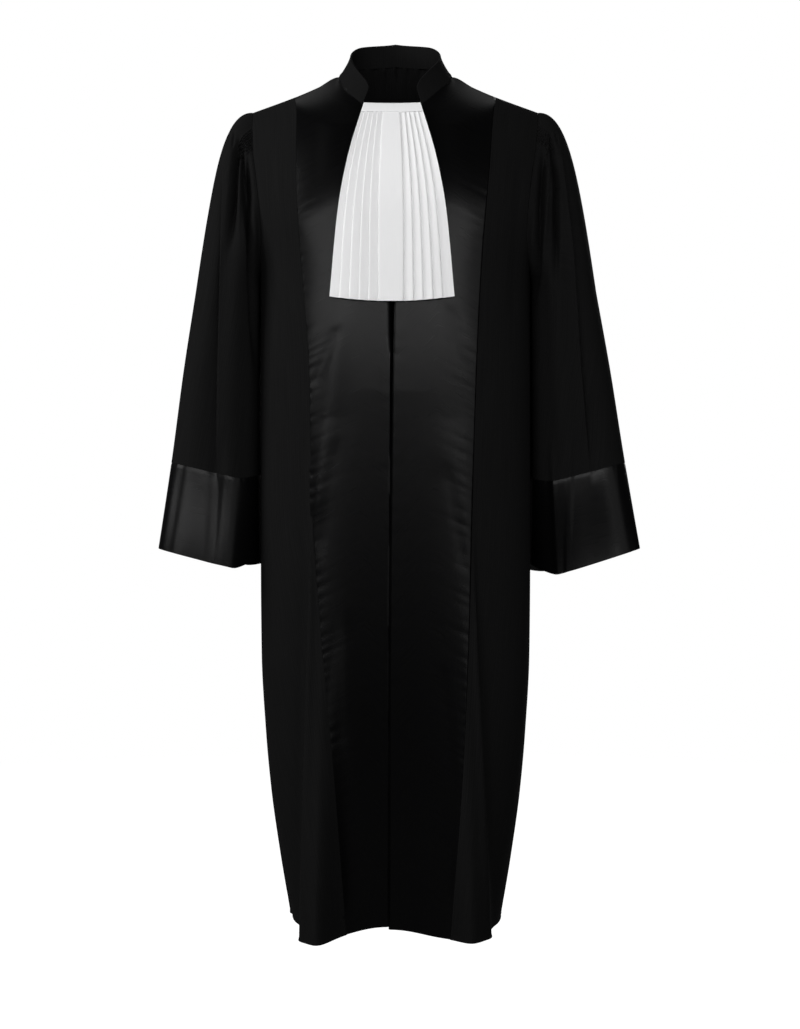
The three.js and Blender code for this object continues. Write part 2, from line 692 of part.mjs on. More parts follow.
function jabot() {
  const columns = jabotColumns();
  const points = grid(JABOT_STEPS, columns.length - 1, (row, column) => {
    const { share, rise } = columns[column];
    const foot = JABOT_FOOT_Z - JABOT_FOOT_BOW * (1 - share * share);
    const z = mix(JABOT[0].z - JABOT_BAND_HEIGHT - SEAM_GAP, foot, row / JABOT_STEPS);
    return jabotPoint(share, rise * JABOT_PLEAT_RISE, z);
  });
  return wall('jabot', points, LINEN, { settleNormal: towardsFront });
}

function jabotBand() {
  const points = grid(1, JABOT_BAND_STEPS, (row, column) => {
    const share = (2 * column) / JABOT_BAND_STEPS - 1;
    return jabotPoint(share, JABOT_PLEAT_RISE, JABOT[0].z - JABOT_BAND_HEIGHT * row);
  });
  return wall('jabot_band', points, LINEN, { settleNormal: towardsFront });
}

// ---- the robe ----
const robe = new THREE.Group();
robe.add(collar(), back(), jabot(), jabotBand());
robe.add(facing(-1, 'facing_right'), facing(1, 'facing_left'));
robe.add(front(-1, 'front_right'), front(1, 'front_left'));
for (const sleeve of SLEEVE_SIDES) robe.add(sleeveTube(sleeve), cuff(sleeve));

export default robe;
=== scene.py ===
# %% [markdown]
# # A judge's court robe, in its worn form with nobody in it
#
# The robe is black wool with pleated sleeves, satin facings down both fronts, deep satin cuffs,
# a stand collar and a white knife-pleated jabot. The frame holds each piece as a plain wall at
# its real size. This lesson gives every piece its cloth: a thin shell on that same form, with
# its folds, gathers and seams, and a woven material. All sizes are in metres, +Z is up, the
# front faces -Y and the wearer's left is +X.

# %% Load the frame and note its box
import math

import bpy
import numpy as np
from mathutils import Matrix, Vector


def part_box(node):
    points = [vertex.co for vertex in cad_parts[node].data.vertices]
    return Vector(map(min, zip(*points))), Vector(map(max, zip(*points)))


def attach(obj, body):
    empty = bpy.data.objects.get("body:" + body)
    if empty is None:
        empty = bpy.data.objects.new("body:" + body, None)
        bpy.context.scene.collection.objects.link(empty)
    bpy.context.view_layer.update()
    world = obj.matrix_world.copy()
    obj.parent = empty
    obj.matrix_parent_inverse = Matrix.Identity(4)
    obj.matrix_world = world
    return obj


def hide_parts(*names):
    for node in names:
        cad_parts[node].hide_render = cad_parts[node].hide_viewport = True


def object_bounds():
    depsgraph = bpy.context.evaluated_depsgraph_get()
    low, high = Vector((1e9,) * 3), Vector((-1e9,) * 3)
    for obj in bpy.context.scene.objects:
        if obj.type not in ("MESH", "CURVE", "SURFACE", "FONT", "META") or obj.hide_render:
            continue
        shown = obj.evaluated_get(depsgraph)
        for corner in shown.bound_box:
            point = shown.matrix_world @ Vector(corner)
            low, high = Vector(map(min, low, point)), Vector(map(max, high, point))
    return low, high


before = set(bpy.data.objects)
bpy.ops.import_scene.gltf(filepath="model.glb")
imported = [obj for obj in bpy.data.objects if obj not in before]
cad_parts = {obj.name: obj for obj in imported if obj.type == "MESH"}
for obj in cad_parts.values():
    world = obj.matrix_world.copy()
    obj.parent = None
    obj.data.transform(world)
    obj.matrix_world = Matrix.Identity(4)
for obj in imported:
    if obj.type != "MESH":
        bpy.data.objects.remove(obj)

cad_low, cad_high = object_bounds()
print("frame box", [round(v, 4) for v in cad_low], [round(v, 4) for v in cad_high])

# %% [markdown]
# The camera comes first, because every look at the robe is seen through it. It stands level in
# front of the robe, a little below its middle, so the hem is seen from slightly above and the
# collar from slightly below. The sensor's long side is the picture's height, so the lens follows
# from the height that must fit in the view.

# %% Place the camera
CAMERA_DISTANCE = 3.2
CAMERA_BELOW_MIDDLE = 0.0556
CAMERA_ASIDE = 0.007
VIEW_HEIGHT = 1.605
SENSOR = 36

camera_data = bpy.data.cameras.new("camera")
camera_data.sensor_width = SENSOR
camera_data.lens = SENSOR * CAMERA_DISTANCE / VIEW_HEIGHT
camera = bpy.data.objects.new("camera", camera_data)
middle_z = (cad_low.z + cad_high.z) / 2
camera.location = (CAMERA_ASIDE, -CAMERA_DISTANCE, middle_z - CAMERA_BELOW_MIDDLE)
camera.rotation_euler = (math.pi / 2, 0, 0)
bpy.context.scene.collection.objects.link(camera)
bpy.context.scene.camera = camera
print("camera at", [round(v, 4) for v in camera.location], "lens", round(camera_data.lens, 2))

# %% [markdown]
# A black robe is shown by its highlights, so the light is a few large soft boxes in a dim room.
# The key is a wide, low box across the front, a little above the chest: its width keeps the
# edge of its reflection soft on the satin. A square box far round on the wearer's right, and
# high, rakes across the folds. A weak one fills the wearer's left. A faint one above and behind
# rims the shoulders, and one behind lights the back. A single lamp would be simpler, but its
# highlight on satin is a hard spot.
#
# The world is white where the camera sees it and dim where the cloth does, because satin would
# mirror a bright room as grey. The floor is a pale round sheet below the hem.

# %% Light the studio
FLOOR_DROP = 0.18
FLOOR_RADIUS = 2.6
FLOOR_BEHIND = 1.2
ROOM_LIGHT = 0.03


def soft_box(name, place, aim, width, height, power):
    data = bpy.data.lights.new(name, "AREA")
    data.shape = "RECTANGLE"
    data.size = width
    data.size_y = height
    data.energy = power
    box = bpy.data.objects.new(name, data)
    box.location = place
    away = box.location - type(box.location)(aim)
    box.rotation_euler = away.to_track_quat("Z", "Y").to_euler()
    bpy.context.scene.collection.objects.link(box)
    return box


chest = (0, 0, -0.35)
shoulders = (0, 0, -0.1)
soft_box("key", (-0.3, -2.7, 0.20), chest, 4.2, 0.45, 55)
soft_box("side", (-2.5, -0.55, 0.8), chest, 1.4, 1.4, 52)
soft_box("fill", (2.0, -1.9, -0.1), chest, 1.8, 1.8, 11)
soft_box("top", (0, 1.0, 1.4), shoulders, 2.0, 1.0, 2)
soft_box("behind", (0.9, 3.0, 0.6), chest, 2.2, 1.6, 34)
print(len(bpy.data.lights), "lights,", sum(light.energy for light in bpy.data.lights), "watts")

# %% Dim the room for the cloth
world = bpy.data.worlds.new("studio")
world.use_nodes = True
bpy.context.scene.world = world
room = world.node_tree
background = room.nodes["Background"]
background.inputs["Color"].default_value = (1, 1, 1, 1)
seen = room.nodes.new("ShaderNodeLightPath")
level = room.nodes.new("ShaderNodeMapRange")
level.inputs["To Min"].default_value = ROOM_LIGHT
level.inputs["To Max"].default_value = 1.0
room.links.new(seen.outputs["Is Camera Ray"], level.inputs["Value"])
room.links.new(level.outputs["Result"], background.inputs["Strength"])
bpy.context.scene.view_settings.view_transform = "Standard"
print("the room lights the cloth at", ROOM_LIGHT, "of the white that the camera sees")

# %% Lay the floor
bpy.ops.object.select_all(action="DESELECT")
bpy.ops.mesh.primitive_circle_add(
    vertices=96, radius=FLOOR_RADIUS, fill_type="NGON",
    location=(0, FLOOR_BEHIND, cad_low.z - FLOOR_DROP))
floor = bpy.context.object
floor.name = "floor"
pale = bpy.data.materials.new("pale floor")
pale.use_nodes = True
pale_shader = pale.node_tree.nodes["Principled BSDF"]
pale_shader.inputs["Base Color"].default_value = (0.12, 0.12, 0.12, 1)
pale_shader.inputs["Roughness"].default_value = 0.9
pale_shader.inputs["Emission Strength"].default_value = 1.0
glow = pale.node_tree.nodes.new("ShaderNodeLightPath")
pale.node_tree.links.new(glow.outputs["Is Camera Ray"], pale_shader.inputs["Emission Color"])
floor.data.materials.append(pale)
print("floor", FLOOR_DROP, "below the hem")

# %% [markdown]
# The form of the robe is drawn by short tables: horizontal sections of the body, the roll of
# the shoulder, the armhole and the seams. The same form could be sculpted, but a table can be
# read, checked against the frame and changed in one place. A smooth curve runs through each
# table's rows and never overshoots them, so a size can be read at any height.

# %% Tables and curves


def table(names, *rows):
    """A table of named columns. The first column is the key, and the rows are put in its order."""
    return dict(zip(names.split(), np.array(sorted(rows), float).T))


def along(rows, column, at):
    """A column's value at a place along the key, on a smooth curve through the rows."""
    keys = next(iter(rows.values()))
    values = rows[column]
    slopes = np.diff(values) / np.diff(keys)
    before, after = slopes[:-1], slopes[1:]
    same_way = before * after > 0
    total = np.where(same_way, before + after, 1)
    inner = np.where(same_way, 2 * before * after / total, 0)
    tangents = np.concatenate([slopes[:1], inner, slopes[-1:]])
    row = np.clip(np.searchsorted(keys, at) - 1, 0, len(keys) - 2)
    span = keys[row + 1] - keys[row]
    share = np.clip((at - keys[row]) / span, 0, 1)
    square, cube = share ** 2, share ** 3
    return ((2 * cube - 3 * square + 1) * values[row]
            + (cube - 2 * square + share) * span * tangents[row]
            + (3 * square - 2 * cube) * values[row + 1]
            + (cube - square) * span * tangents[row + 1])


def mix(a, b, share):
    return a + (b - a) * share


def ease(value):
    share = np.clip(value, 0, 1)
    return share * share * (3 - 2 * share)


def hump(offset, width):
    return np.exp(-((offset / width) ** 2))


# %% The body's sizes
MM = 0.001
SEAM_GAP = 0.4 * MM
SHOULDER_X = 0.222
SHOULDER_Z = -0.058
NECK_HALF_WIDTH = 0.088
NECK_HALF_DEPTH = 0.070
NECK_END = 148
UNDERARM_Z = -0.325
HEM_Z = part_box("back")[0][2]
ROLL_DROP = 0.220
ROLL_POWER = 1.8
SECTION_POWER = 2.4

BODY = table(
    "z half front back widest",
    (0.060, 0.245, 0.112, 0.096, 0),
    (-0.055, 0.245, 0.122, 0.108, 0),
    (-0.190, 0.236, 0.132, 0.122, -0.002),
    (-0.325, 0.209, 0.140, 0.130, -0.008),
    (-0.480, 0.208, 0.142, 0.136, -0.026),
    (-0.760, 0.208, 0.142, 0.146, -0.028),
    (-0.900, 0.207, 0.142, 0.152, -0.024),
    (-1.020, 0.202, 0.143, 0.160, 0),
    (-1.114, 0.1955, 0.144, 0.167, 0.028),
    (-1.217, 0.1835, 0.146, 0.176, 0.058),
    (-1.330, 0.167, 0.148, 0.186, 0.088))
SHOULDER = table(
    "x front back",
    (0, -0.030, 0.092),
    (0.045, -0.014, 0.070),
    (0.088, -0.002, -0.002),
    (0.122, -0.019, -0.019),
    (0.157, -0.034, -0.034),
    (0.222, -0.058, -0.058),
    (0.260, -0.072, -0.072))
ARMHOLE = table(
    "z right left",
    (-0.058, 0.222, 0.222),
    (-0.117, 0.220, 0.216),
    (-0.162, 0.214, 0.209),
    (-0.229, 0.2065, 0.201),
    (-0.256, 0.2055, 0.200),
    (-0.290, 0.207, 0.203),
    (-0.325, 0.209, 0.209))
NECK = table("angle z", (0, 0.031), (45, 0.023), (90, -0.002), (125, -0.029), (148, -0.054))
OPENING = table(
    "z x", (-0.054, -0.005), (-0.361, -0.002), (-0.500, -0.0045), (-0.800, -0.008),
    (-1.320, -0.0105))
OPENING_TOP_Z = OPENING["z"][-1]
print("shoulder seams", 2 * SHOULDER_X, "apart, hem at", round(HEM_Z, 3))

# %% [markdown]
# These few functions say where the body's cloth is: how far forward or back it lies at a place
# across and down, how it rolls over the shoulder, and where its side edge and neck seam run.
# They work on whole grids of numbers at once, which is quick even for a hundred thousand
# points.

# %% The body's form


def body_y(face, x, z):
    half = along(BODY, "half", z)
    widest = along(BODY, "widest", z)
    depth = along(BODY, "front" if face < 0 else "back", z)
    share = np.minimum(np.abs(x) / half, 1)
    section = (1 - share ** SECTION_POWER) ** (1 / SECTION_POWER)
    shoulder = along(SHOULDER, "front" if face < 0 else "back", np.abs(x))
    fall = np.clip((shoulder - z) / ROLL_DROP, 0, 1)
    roll = (1 - (1 - fall) ** ROLL_POWER) ** (1 / ROLL_POWER)
    return (widest + (face * depth - widest) * section) * roll


def body_half_width(y, z):
    widest = along(BODY, "widest", z)
    reach = np.where(y < widest, along(BODY, "front", z) + widest, along(BODY, "back", z) - widest)
    share = np.minimum(np.abs(y - widest) / reach, 1)
    return along(BODY, "half", z) * (1 - share ** SECTION_POWER) ** (1 / SECTION_POWER)


def edge_x(sign, z):
    armhole = np.where(sign > 0, along(ARMHOLE, "left", z), along(ARMHOLE, "right", z))
    return np.where(z > UNDERARM_Z, armhole, along(BODY, "half", z))


def neck_point(angle):
    """The neck seam, by the angle in degrees from the middle of the back."""
    turn = np.radians(angle)
    shift = along(OPENING, "x", OPENING_TOP_Z) * ease((np.abs(angle) - 90) / 50)
    return (NECK_HALF_WIDTH * np.sin(turn) + shift,
            NECK_HALF_DEPTH * np.cos(turn),
            along(NECK, "z", np.abs(angle)))


COLUMN_TURN = table("z turn", (0.060, 63), (-0.230, 65), (-0.325, 74), (-0.600, 90))
COLUMN_SETTLE = 0.160
EDGE_POWER = 4
SETTLE_DROP = 0.050


def across_at(sign, share, first, z):
    """How far across a column lies, between a first turn round the section and the side edge."""
    half = along(BODY, "half", z)
    edge = np.arcsin(np.minimum(edge_x(sign, z) / half, 1))
    smooth = np.radians(along(COLUMN_TURN, "turn", z))
    return sign * half * np.sin(mix(first, smooth, share) + (edge - smooth) * share ** EDGE_POWER)


def settle(face, start_x, start_y, start_z, x, z):
    """The body's form, reached smoothly from where the column starts."""
    offset = start_y - body_y(face, start_x, start_z)
    return body_y(face, x, z) + offset * hump(start_z - z, SETTLE_DROP)


# %% [markdown]
# Below the chest each front swells into a lobe beside its facing, and the satin sinks back
# between the two. The lobes' outer flanks are steep, so a fold line shows down each front.
# A cloth simulation would find folds of its own. Listed in tables, they stay where this robe has
# them, and they are the same each time the script runs.

# %% The fronts' folds
LOBE = table(
    "z right_x left_x right left",
    (-0.540, 0.104, 0.090, 0, 0),
    (-0.760, 0.107, 0.096, 0.007, 0.006),
    (-1.000, 0.114, 0.111, 0.024, 0.019),
    (-1.320, 0.122, 0.121, 0.080, 0.060))
LOBE_INNER_WIDTH = 0.030
LOBE_OUTER_WIDTH = 0.025
LOBE_OUTER_POWER = 5
RECESS = table("z sink", (-0.500, 0), (-0.900, 0.009), (-1.320, 0.050))
RECESS_WIDTH = 0.070
RECESS_POWER = 3
HEM_RISE = 0.012
HEM_RISE_WIDTH = 0.060
OVER_FACING_DROP = 0.004


def front_folds(x, z):
    left = x > 0
    crest = np.where(left, along(LOBE, "left_x", z), along(LOBE, "right_x", z))
    offset = np.abs(x) - crest
    outer = np.exp(-((np.maximum(offset, 0) / LOBE_OUTER_WIDTH) ** LOBE_OUTER_POWER))
    shape = np.where(offset > 0, outer, hump(offset, LOBE_INNER_WIDTH))
    lobe = np.where(left, along(LOBE, "left", z), along(LOBE, "right", z)) * shape
    aside = np.abs(x - along(OPENING, "x", z)) / RECESS_WIDTH
    return lobe - along(RECESS, "sink", z) * np.exp(-(aside ** RECESS_POWER))


def hem_height(sign, x):
    rise = HEM_RISE - (OVER_FACING_DROP if sign > 0 else 0)
    return HEM_Z + rise * hump(x - along(OPENING, "x", HEM_Z), HEM_RISE_WIDTH)


# %% [markdown]
# Every piece is made the same way: a grid of points on the form, moved along the cloth's own
# normals by its folds, then joined into a sheet. A plane could be subdivided and pushed into
# shape, but a grid of numbers takes a hundred folds at once and keeps its rows along the cloth.
# Its texture map is laid out in metres, so a rib or a weave keeps its size and follows every
# fold. The Solidify modifier gives the sheet its thickness on the inside, and is applied at once.

# %% From a grid of points to a piece of cloth


def grid(rows, columns, crowd=0.0):
    """Shares across and down. With crowd, the columns lie closer together at both edges."""
    t = np.linspace(0, 1, columns + 1)
    across = t - crowd * np.sin(2 * np.pi * t) / (2 * np.pi)
    down = np.linspace(0, 1, rows + 1)
    return np.meshgrid(across, down)


def normals(points, ring=False):
    """Outward normals. Rows run down, and columns to the right of whoever faces the sheet."""
    if ring:
        padded = np.concatenate([points[:, -1:], points, points[:, :1]], axis=1)
        across = (padded[:, 2:] - padded[:, :-2]) / 2
    else:
        across = np.gradient(points, axis=1)
    down = np.gradient(points, axis=0)
    out = np.cross(down, across)
    return out / np.maximum(np.linalg.norm(out, axis=2, keepdims=True), 1e-12)


def lengths(points, axis):
    steps = np.linalg.norm(np.diff(points, axis=axis), axis=2)
    start = np.zeros_like(np.take(steps, [0], axis=axis))
    return np.concatenate([start, np.cumsum(steps, axis=axis)], axis=axis)


# %% Join a grid into a sheet


def cloth(name, points, thickness, material, ring=False, middle=0.0):
    """A finished shell from a grid of points. middle is the share across where the map starts."""
    rows, columns = points.shape[:2]
    shown = np.concatenate([points, points[:, :1]], axis=1) if ring else points
    index = np.arange(rows * columns).reshape(rows, columns)
    if ring:
        index = np.concatenate([index, index[:, :1]], axis=1)
    corners = [index[:-1, :-1], index[1:, :-1], index[1:, 1:], index[:-1, 1:]]
    faces = np.stack(corners, axis=-1).reshape(-1, 4)
    u = lengths(shown, 1)
    u = u - u[:, [round(middle * (shown.shape[1] - 1))]]
    flat_map = np.stack([u, -lengths(shown, 0)], axis=-1)
    spots = [flat_map[:-1, :-1], flat_map[1:, :-1], flat_map[1:, 1:], flat_map[:-1, 1:]]
    mesh = bpy.data.meshes.new(name)
    mesh.from_pydata(points.reshape(-1, 3).tolist(), [], faces.tolist())
    layer = mesh.uv_layers.new(name="cloth")
    layer.data.foreach_set("uv", np.stack(spots, axis=2).reshape(-1))
    mesh.materials.append(material)
    piece = bpy.data.objects.new(name, mesh)
    bpy.context.scene.collection.objects.link(piece)
    bpy.ops.object.select_all(action="DESELECT")
    piece.select_set(True)
    bpy.context.view_layer.objects.active = piece
    one_layer = sum(face.area for face in mesh.polygons)
    wall = piece.modifiers.new("wall", "SOLIDIFY")
    wall.thickness = thickness
    wall.offset = -1
    bpy.ops.object.modifier_apply(modifier=wall.name)
    bpy.ops.object.shade_smooth_by_angle(angle=math.radians(50))
    print(f"{name}: {one_layer:.4f} square metres, {len(piece.data.polygons) * 2} triangles")
    return piece


def sew(piece, node):
    """Hangs the piece from the root and hides the frame's wall that it stands for."""
    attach(piece, "root")
    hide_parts(node)


# %% Even out a grid's bends


def even_out(points, weight, rounds):
    """Moves each point towards the middle of its neighbours, by a weight, inside the edges."""
    for _ in range(rounds):
        around = points[1:-1, :-2] + points[1:-1, 2:] + points[:-2, 1:-1] + points[2:, 1:-1]
        points[1:-1, 1:-1] += (around / 4 - points[1:-1, 1:-1]) * weight[1:-1, 1:-1, None]


# %% [markdown]
# Creases are listed one by one, each as one row of a table: where it starts and ends, where it
# lies at both ends, how wide it is and how deep. A negative rise is a trough. Each fades in and
# out, so no crease ends in a step. A ledge is where one fold of cloth lies over the next.
# Bump in the material would be quicker, but it leaves the outline flat and is lost in the mesh.

# %% Creases and puckers
LEDGE_EDGE = 0.0032


def profile(out, width, ledge):
    """Across a crease it is a hump. A ledge drops sharply and slopes back up on its outer side."""
    if ledge:
        return ease(out / LEDGE_EDGE) * np.exp(-np.maximum(out, 0) / width)
    return hump(out, width)


def creases(rows, across, z, ledge=False):
    """The rise of a table of long creases, at places across the cloth and down it."""
    rise = np.zeros_like(z)
    for top, foot, at_top, at_foot, width, depth in zip(*rows.values()):
        fall = np.clip((top - z) / (top - foot), 0, 1)
        fade = ease(fall * (1.5 if ledge else 5)) * ease((1 - fall) * 5)
        rise += depth * fade * profile(across - mix(at_top, at_foot, fall), width, ledge)
    return rise


def puckers(seed, place, away, pitch, reach, depth, lean=0.0):
    """Short creases that a seam pulls in, uneven in size and spacing. away is from the seam."""
    rng = np.random.default_rng(seed)
    rise = np.zeros_like(place)
    at = place.min()
    while at < place.max():
        size = rng.uniform(0.25, 1)
        length = reach * rng.uniform(0.4, 1.5)
        width = pitch * rng.uniform(0.16, 0.32)
        rise -= depth * size * hump(place - at - lean * away, width) * np.exp(-away / length)
        at += pitch * rng.uniform(0.6, 1.5)
    return rise


PUCKER_START = 0.10
PUCKER_FADE = 0.08


def pulled_below(drop):
    """Puckers set in some way below the shoulder, where the seam hangs free."""
    return ease((drop - PUCKER_START) / PUCKER_FADE)


# %% [markdown]
# The robe has three cloths: a matte ribbed wool, a smooth satin and a fine white batiste. All
# are woven, so all are built from one node group, which turns the cloth's own map into threads:
# a rib of a given pitch, and long uneven slubs that lighten and darken it. An image of each
# weave would blur close up and repeat. Each material places the group with its own pitch and
# keeps its own shader. Numbers that never change over the surface are set on the shader itself.

# %% The thread group


def thread_group():
    group = bpy.data.node_groups.new("threads", "ShaderNodeTree")
    face = group.interface
    face.new_socket("Map", in_out="INPUT", socket_type="NodeSocketVector")
    for name, value in (("Rib pitch", 0.002), ("Slub width", 0.004), ("Slub length", 0.08),
                        ("Grain", 0.0008)):
        socket = face.new_socket(name, in_out="INPUT", socket_type="NodeSocketFloat")
        socket.default_value = value
    face.new_socket("Height", in_out="OUTPUT", socket_type="NodeSocketFloat")
    face.new_socket("Tone", in_out="OUTPUT", socket_type="NodeSocketFloat")
    nodes, links = group.nodes, group.links
    given = nodes.new("NodeGroupInput")
    made = nodes.new("NodeGroupOutput")
    split = nodes.new("ShaderNodeSeparateXYZ")
    links.new(given.outputs["Map"], split.inputs["Vector"])

    def math_node(operation, a, b=None, c=None):
        node = nodes.new("ShaderNodeMath")
        node.operation = operation
        for socket, value in zip(node.inputs, (a, b, c)):
            if value is None:
                continue
            if isinstance(value, (int, float)):
                socket.default_value = value
            else:
                links.new(value, socket)
        return node.outputs[0]

    def noise(width, length, detail):
        stretch = nodes.new("ShaderNodeCombineXYZ")
        links.new(math_node("DIVIDE", split.outputs["X"], width), stretch.inputs["X"])
        links.new(math_node("DIVIDE", split.outputs["Y"], length), stretch.inputs["Y"])
        texture = nodes.new("ShaderNodeTexNoise")
        texture.noise_dimensions = "2D"
        texture.inputs["Scale"].default_value = 1
        texture.inputs["Detail"].default_value = detail
        links.new(stretch.outputs["Vector"], texture.inputs["Vector"])
        return texture.outputs["Fac"]

    turn = math_node("DIVIDE", split.outputs["X"], given.outputs["Rib pitch"])
    wave = math_node("SINE", math_node("MULTIPLY", turn, 2 * math.pi))
    rib = math_node("MULTIPLY_ADD", wave, 0.5, 0.5)
    slub = noise(given.outputs["Slub width"], given.outputs["Slub length"], 2)
    grain = noise(given.outputs["Grain"], given.outputs["Grain"], 1)
    raised = math_node("MULTIPLY_ADD", slub, 0.9, math_node("MULTIPLY", rib, 0.35))
    links.new(math_node("MULTIPLY_ADD", grain, 0.35, raised), made.inputs["Height"])
    tone = math_node("MULTIPLY_ADD", rib, 0.25, math_node("MULTIPLY", slub, 0.75))
    links.new(tone, made.inputs["Tone"])
    return group


threads = thread_group()
print("thread group of", len(threads.nodes), "nodes")

# %% The three cloths


def woven(name, dark, light, rough, rib, slub, grain, bump, turned=False, **sockets):
    """A material with the thread group. turned lays the threads across the piece."""
    material = bpy.data.materials.new(name)
    material.use_nodes = True
    nodes, links = material.node_tree.nodes, material.node_tree.links
    shader = nodes["Principled BSDF"]
    for socket, value in sockets.items():
        shader.inputs[socket.replace("_", " ")].default_value = value
    uv = nodes.new("ShaderNodeUVMap")
    uv.uv_map = "cloth"
    place = nodes.new("ShaderNodeMapping")
    place.inputs["Rotation"].default_value[2] = math.pi / 2 if turned else 0
    thread = nodes.new("ShaderNodeGroup")
    thread.node_tree = threads
    thread.inputs["Rib pitch"].default_value = rib
    thread.inputs["Slub width"].default_value = slub[0]
    thread.inputs["Slub length"].default_value = slub[1]
    thread.inputs["Grain"].default_value = grain
    colour = nodes.new("ShaderNodeMix")
    colour.data_type = "RGBA"
    factor, colour_a, colour_b = (colour.inputs[i] for i in (0, 6, 7))
    colour_a.default_value = (*dark, 1)
    colour_b.default_value = (*light, 1)
    roughness = nodes.new("ShaderNodeMapRange")
    roughness.inputs["To Min"].default_value = rough[0]
    roughness.inputs["To Max"].default_value = rough[1]
    raised = nodes.new("ShaderNodeBump")
    raised.inputs["Distance"].default_value = bump
    links.new(uv.outputs["UV"], place.inputs["Vector"])
    links.new(place.outputs["Vector"], thread.inputs["Map"])
    links.new(thread.outputs["Tone"], factor)
    links.new(thread.outputs["Tone"], roughness.inputs["Value"])
    links.new(thread.outputs["Height"], raised.inputs["Height"])
    links.new(colour.outputs[2], shader.inputs["Base Color"])
    links.new(roughness.outputs["Result"], shader.inputs["Roughness"])
    links.new(raised.outputs["Normal"], shader.inputs["Normal"])
    return material


WOOL = woven(
    "black ribbed wool", (0.0040, 0.0040, 0.0041), (0.0068, 0.0068, 0.0069), (0.95, 0.85),
    rib=0.0036, slub=(0.0024, 0.11), grain=0.0010, bump=0.00014,
    Specular_IOR_Level=0.08)
SATIN = woven(
    "black satin", (0.0014, 0.0014, 0.0015), (0.0026, 0.0026, 0.0028), (0.26, 0.32),
    rib=0.0011, slub=(0.0022, 0.05), grain=0.0009, bump=0.00004, turned=True,
    Specular_IOR_Level=0.115)
LINEN = woven(
    "white batiste", (0.89, 0.89, 0.895), (0.95, 0.95, 0.955), (0.75, 0.85),
    rib=0.0007, slub=(0.0012, 0.03), grain=0.0006, bump=0.00005,
    Specular_IOR_Level=0.2)

# %% [markdown]
# The facings are one long strip of satin on each front, from the shoulder and the neck seam to
# the hem. The wearer's left lies over the right. Its folded edge stands proud, and the right
# drops beside it down a ramp: wide and shallow at the neck, deepest behind the jabot's lower
# half, and narrow from there to the hem. The seam to the wool pulls the satin into small
# slanting puckers, uneven all the way down, and a few longer creases run in from it.
#
# The satin lies a hair below the wool all along that seam, and on the left a groove runs there
# too. A groove on the right would face the side light and shine as a white line. Near the neck
# corner the columns fan out sharply, so their bends are evened out there, and only there.

# %% Facing sizes
SATIN_CLOTH = 0.0011
WOOL_CLOTH = 0.0012
FACING_COLUMNS = 60
FACING_ROWS = 400
UNDERLAP = 0.030
OPENING_DROP = 0.070
UNDERLAP_DROP = 0.035
EDGE_ROLL = 0.0022
EDGE_ROLL_WIDTH = 0.004
FACING_SEAM = table(
    "z right left",
    (-0.031, 0.157, 0.157),
    (-0.070, 0.151, 0.150),
    (-0.167, 0.150, 0.142),
    (-0.287, 0.143, 0.1315),
    (-0.470, 0.1286, 0.122),
    (-0.662, 0.125, 0.116),
    (-0.862, 0.1105, 0.1105),
    (-1.063, 0.092, 0.101),
    (-1.320, 0.073, 0.082))
SLOT = table(
    "z width depth",
    (-0.054, 0.045, 0.009),
    (-0.150, 0.030, 0.012),
    (-0.300, 0.010, 0.024),
    (-0.400, 0.0080, 0.024),
    (-0.470, 0.0045, 0.014),
    (-0.700, 0.0026, 0.009),
    (-1.320, 0.002, 0.009))
SLOT_BEYOND = 0.005
NECK_CALM_REACH = 0.038
NECK_CALM_DROP = 0.020
NECK_CALM_ROUNDS = 160
SEAM_TUCK = 0.003
SATIN_SINK = 0.0003
SEAM_GROOVE = {"right": 0.0, "left": 0.0008}
SEAM_STEP = 0.0016
FACING_CREASES = {
    "right": table(
        "top foot at_top at_foot width depth",
        (-0.395, -0.500, 0.052, 0.001, 0.010, -0.0009),
        (-0.340, -0.720, 0.060, 0.003, 0.016, 0.0020),
        (-0.560, -0.760, 0.040, 0.006, 0.009, -0.0009),
        (-0.820, -1.050, 0.044, 0.012, 0.010, -0.0009)),
    "left": table(
        "top foot at_top at_foot width depth",
        (-0.365, -0.475, 0.050, 0.002, 0.012, -0.0007),
        (-0.340, -0.640, 0.061, 0.052, 0.018, 0.0006),
        (-0.600, -0.780, 0.042, 0.008, 0.009, -0.0008),
        (-0.900, -1.120, 0.040, 0.010, 0.010, -0.0009)),
}

# %% Make the facings
SIGNS = {"right": -1, "left": 1}


def seam_x(side, z):
    return SIGNS[side] * along(FACING_SEAM, side, z)


def facing_top(side, share):
    sign = SIGNS[side]
    on_neck = np.clip(share / 0.5, 0, 1)
    neck_x, neck_y, neck_z = neck_point(sign * mix(NECK_END, 90, on_neck))
    far = FACING_SEAM["left"][-1] + SEAM_TUCK
    shoulder_x = mix(NECK_HALF_WIDTH, far, np.clip(share / 0.5 - 1, 0, 1))
    neck = share <= 0.5
    return (np.where(neck, neck_x, sign * shoulder_x),
            np.where(neck, neck_y - SEAM_GAP * on_neck, -SEAM_GAP),
            np.where(neck, neck_z, along(SHOULDER, "front", shoulder_x)))


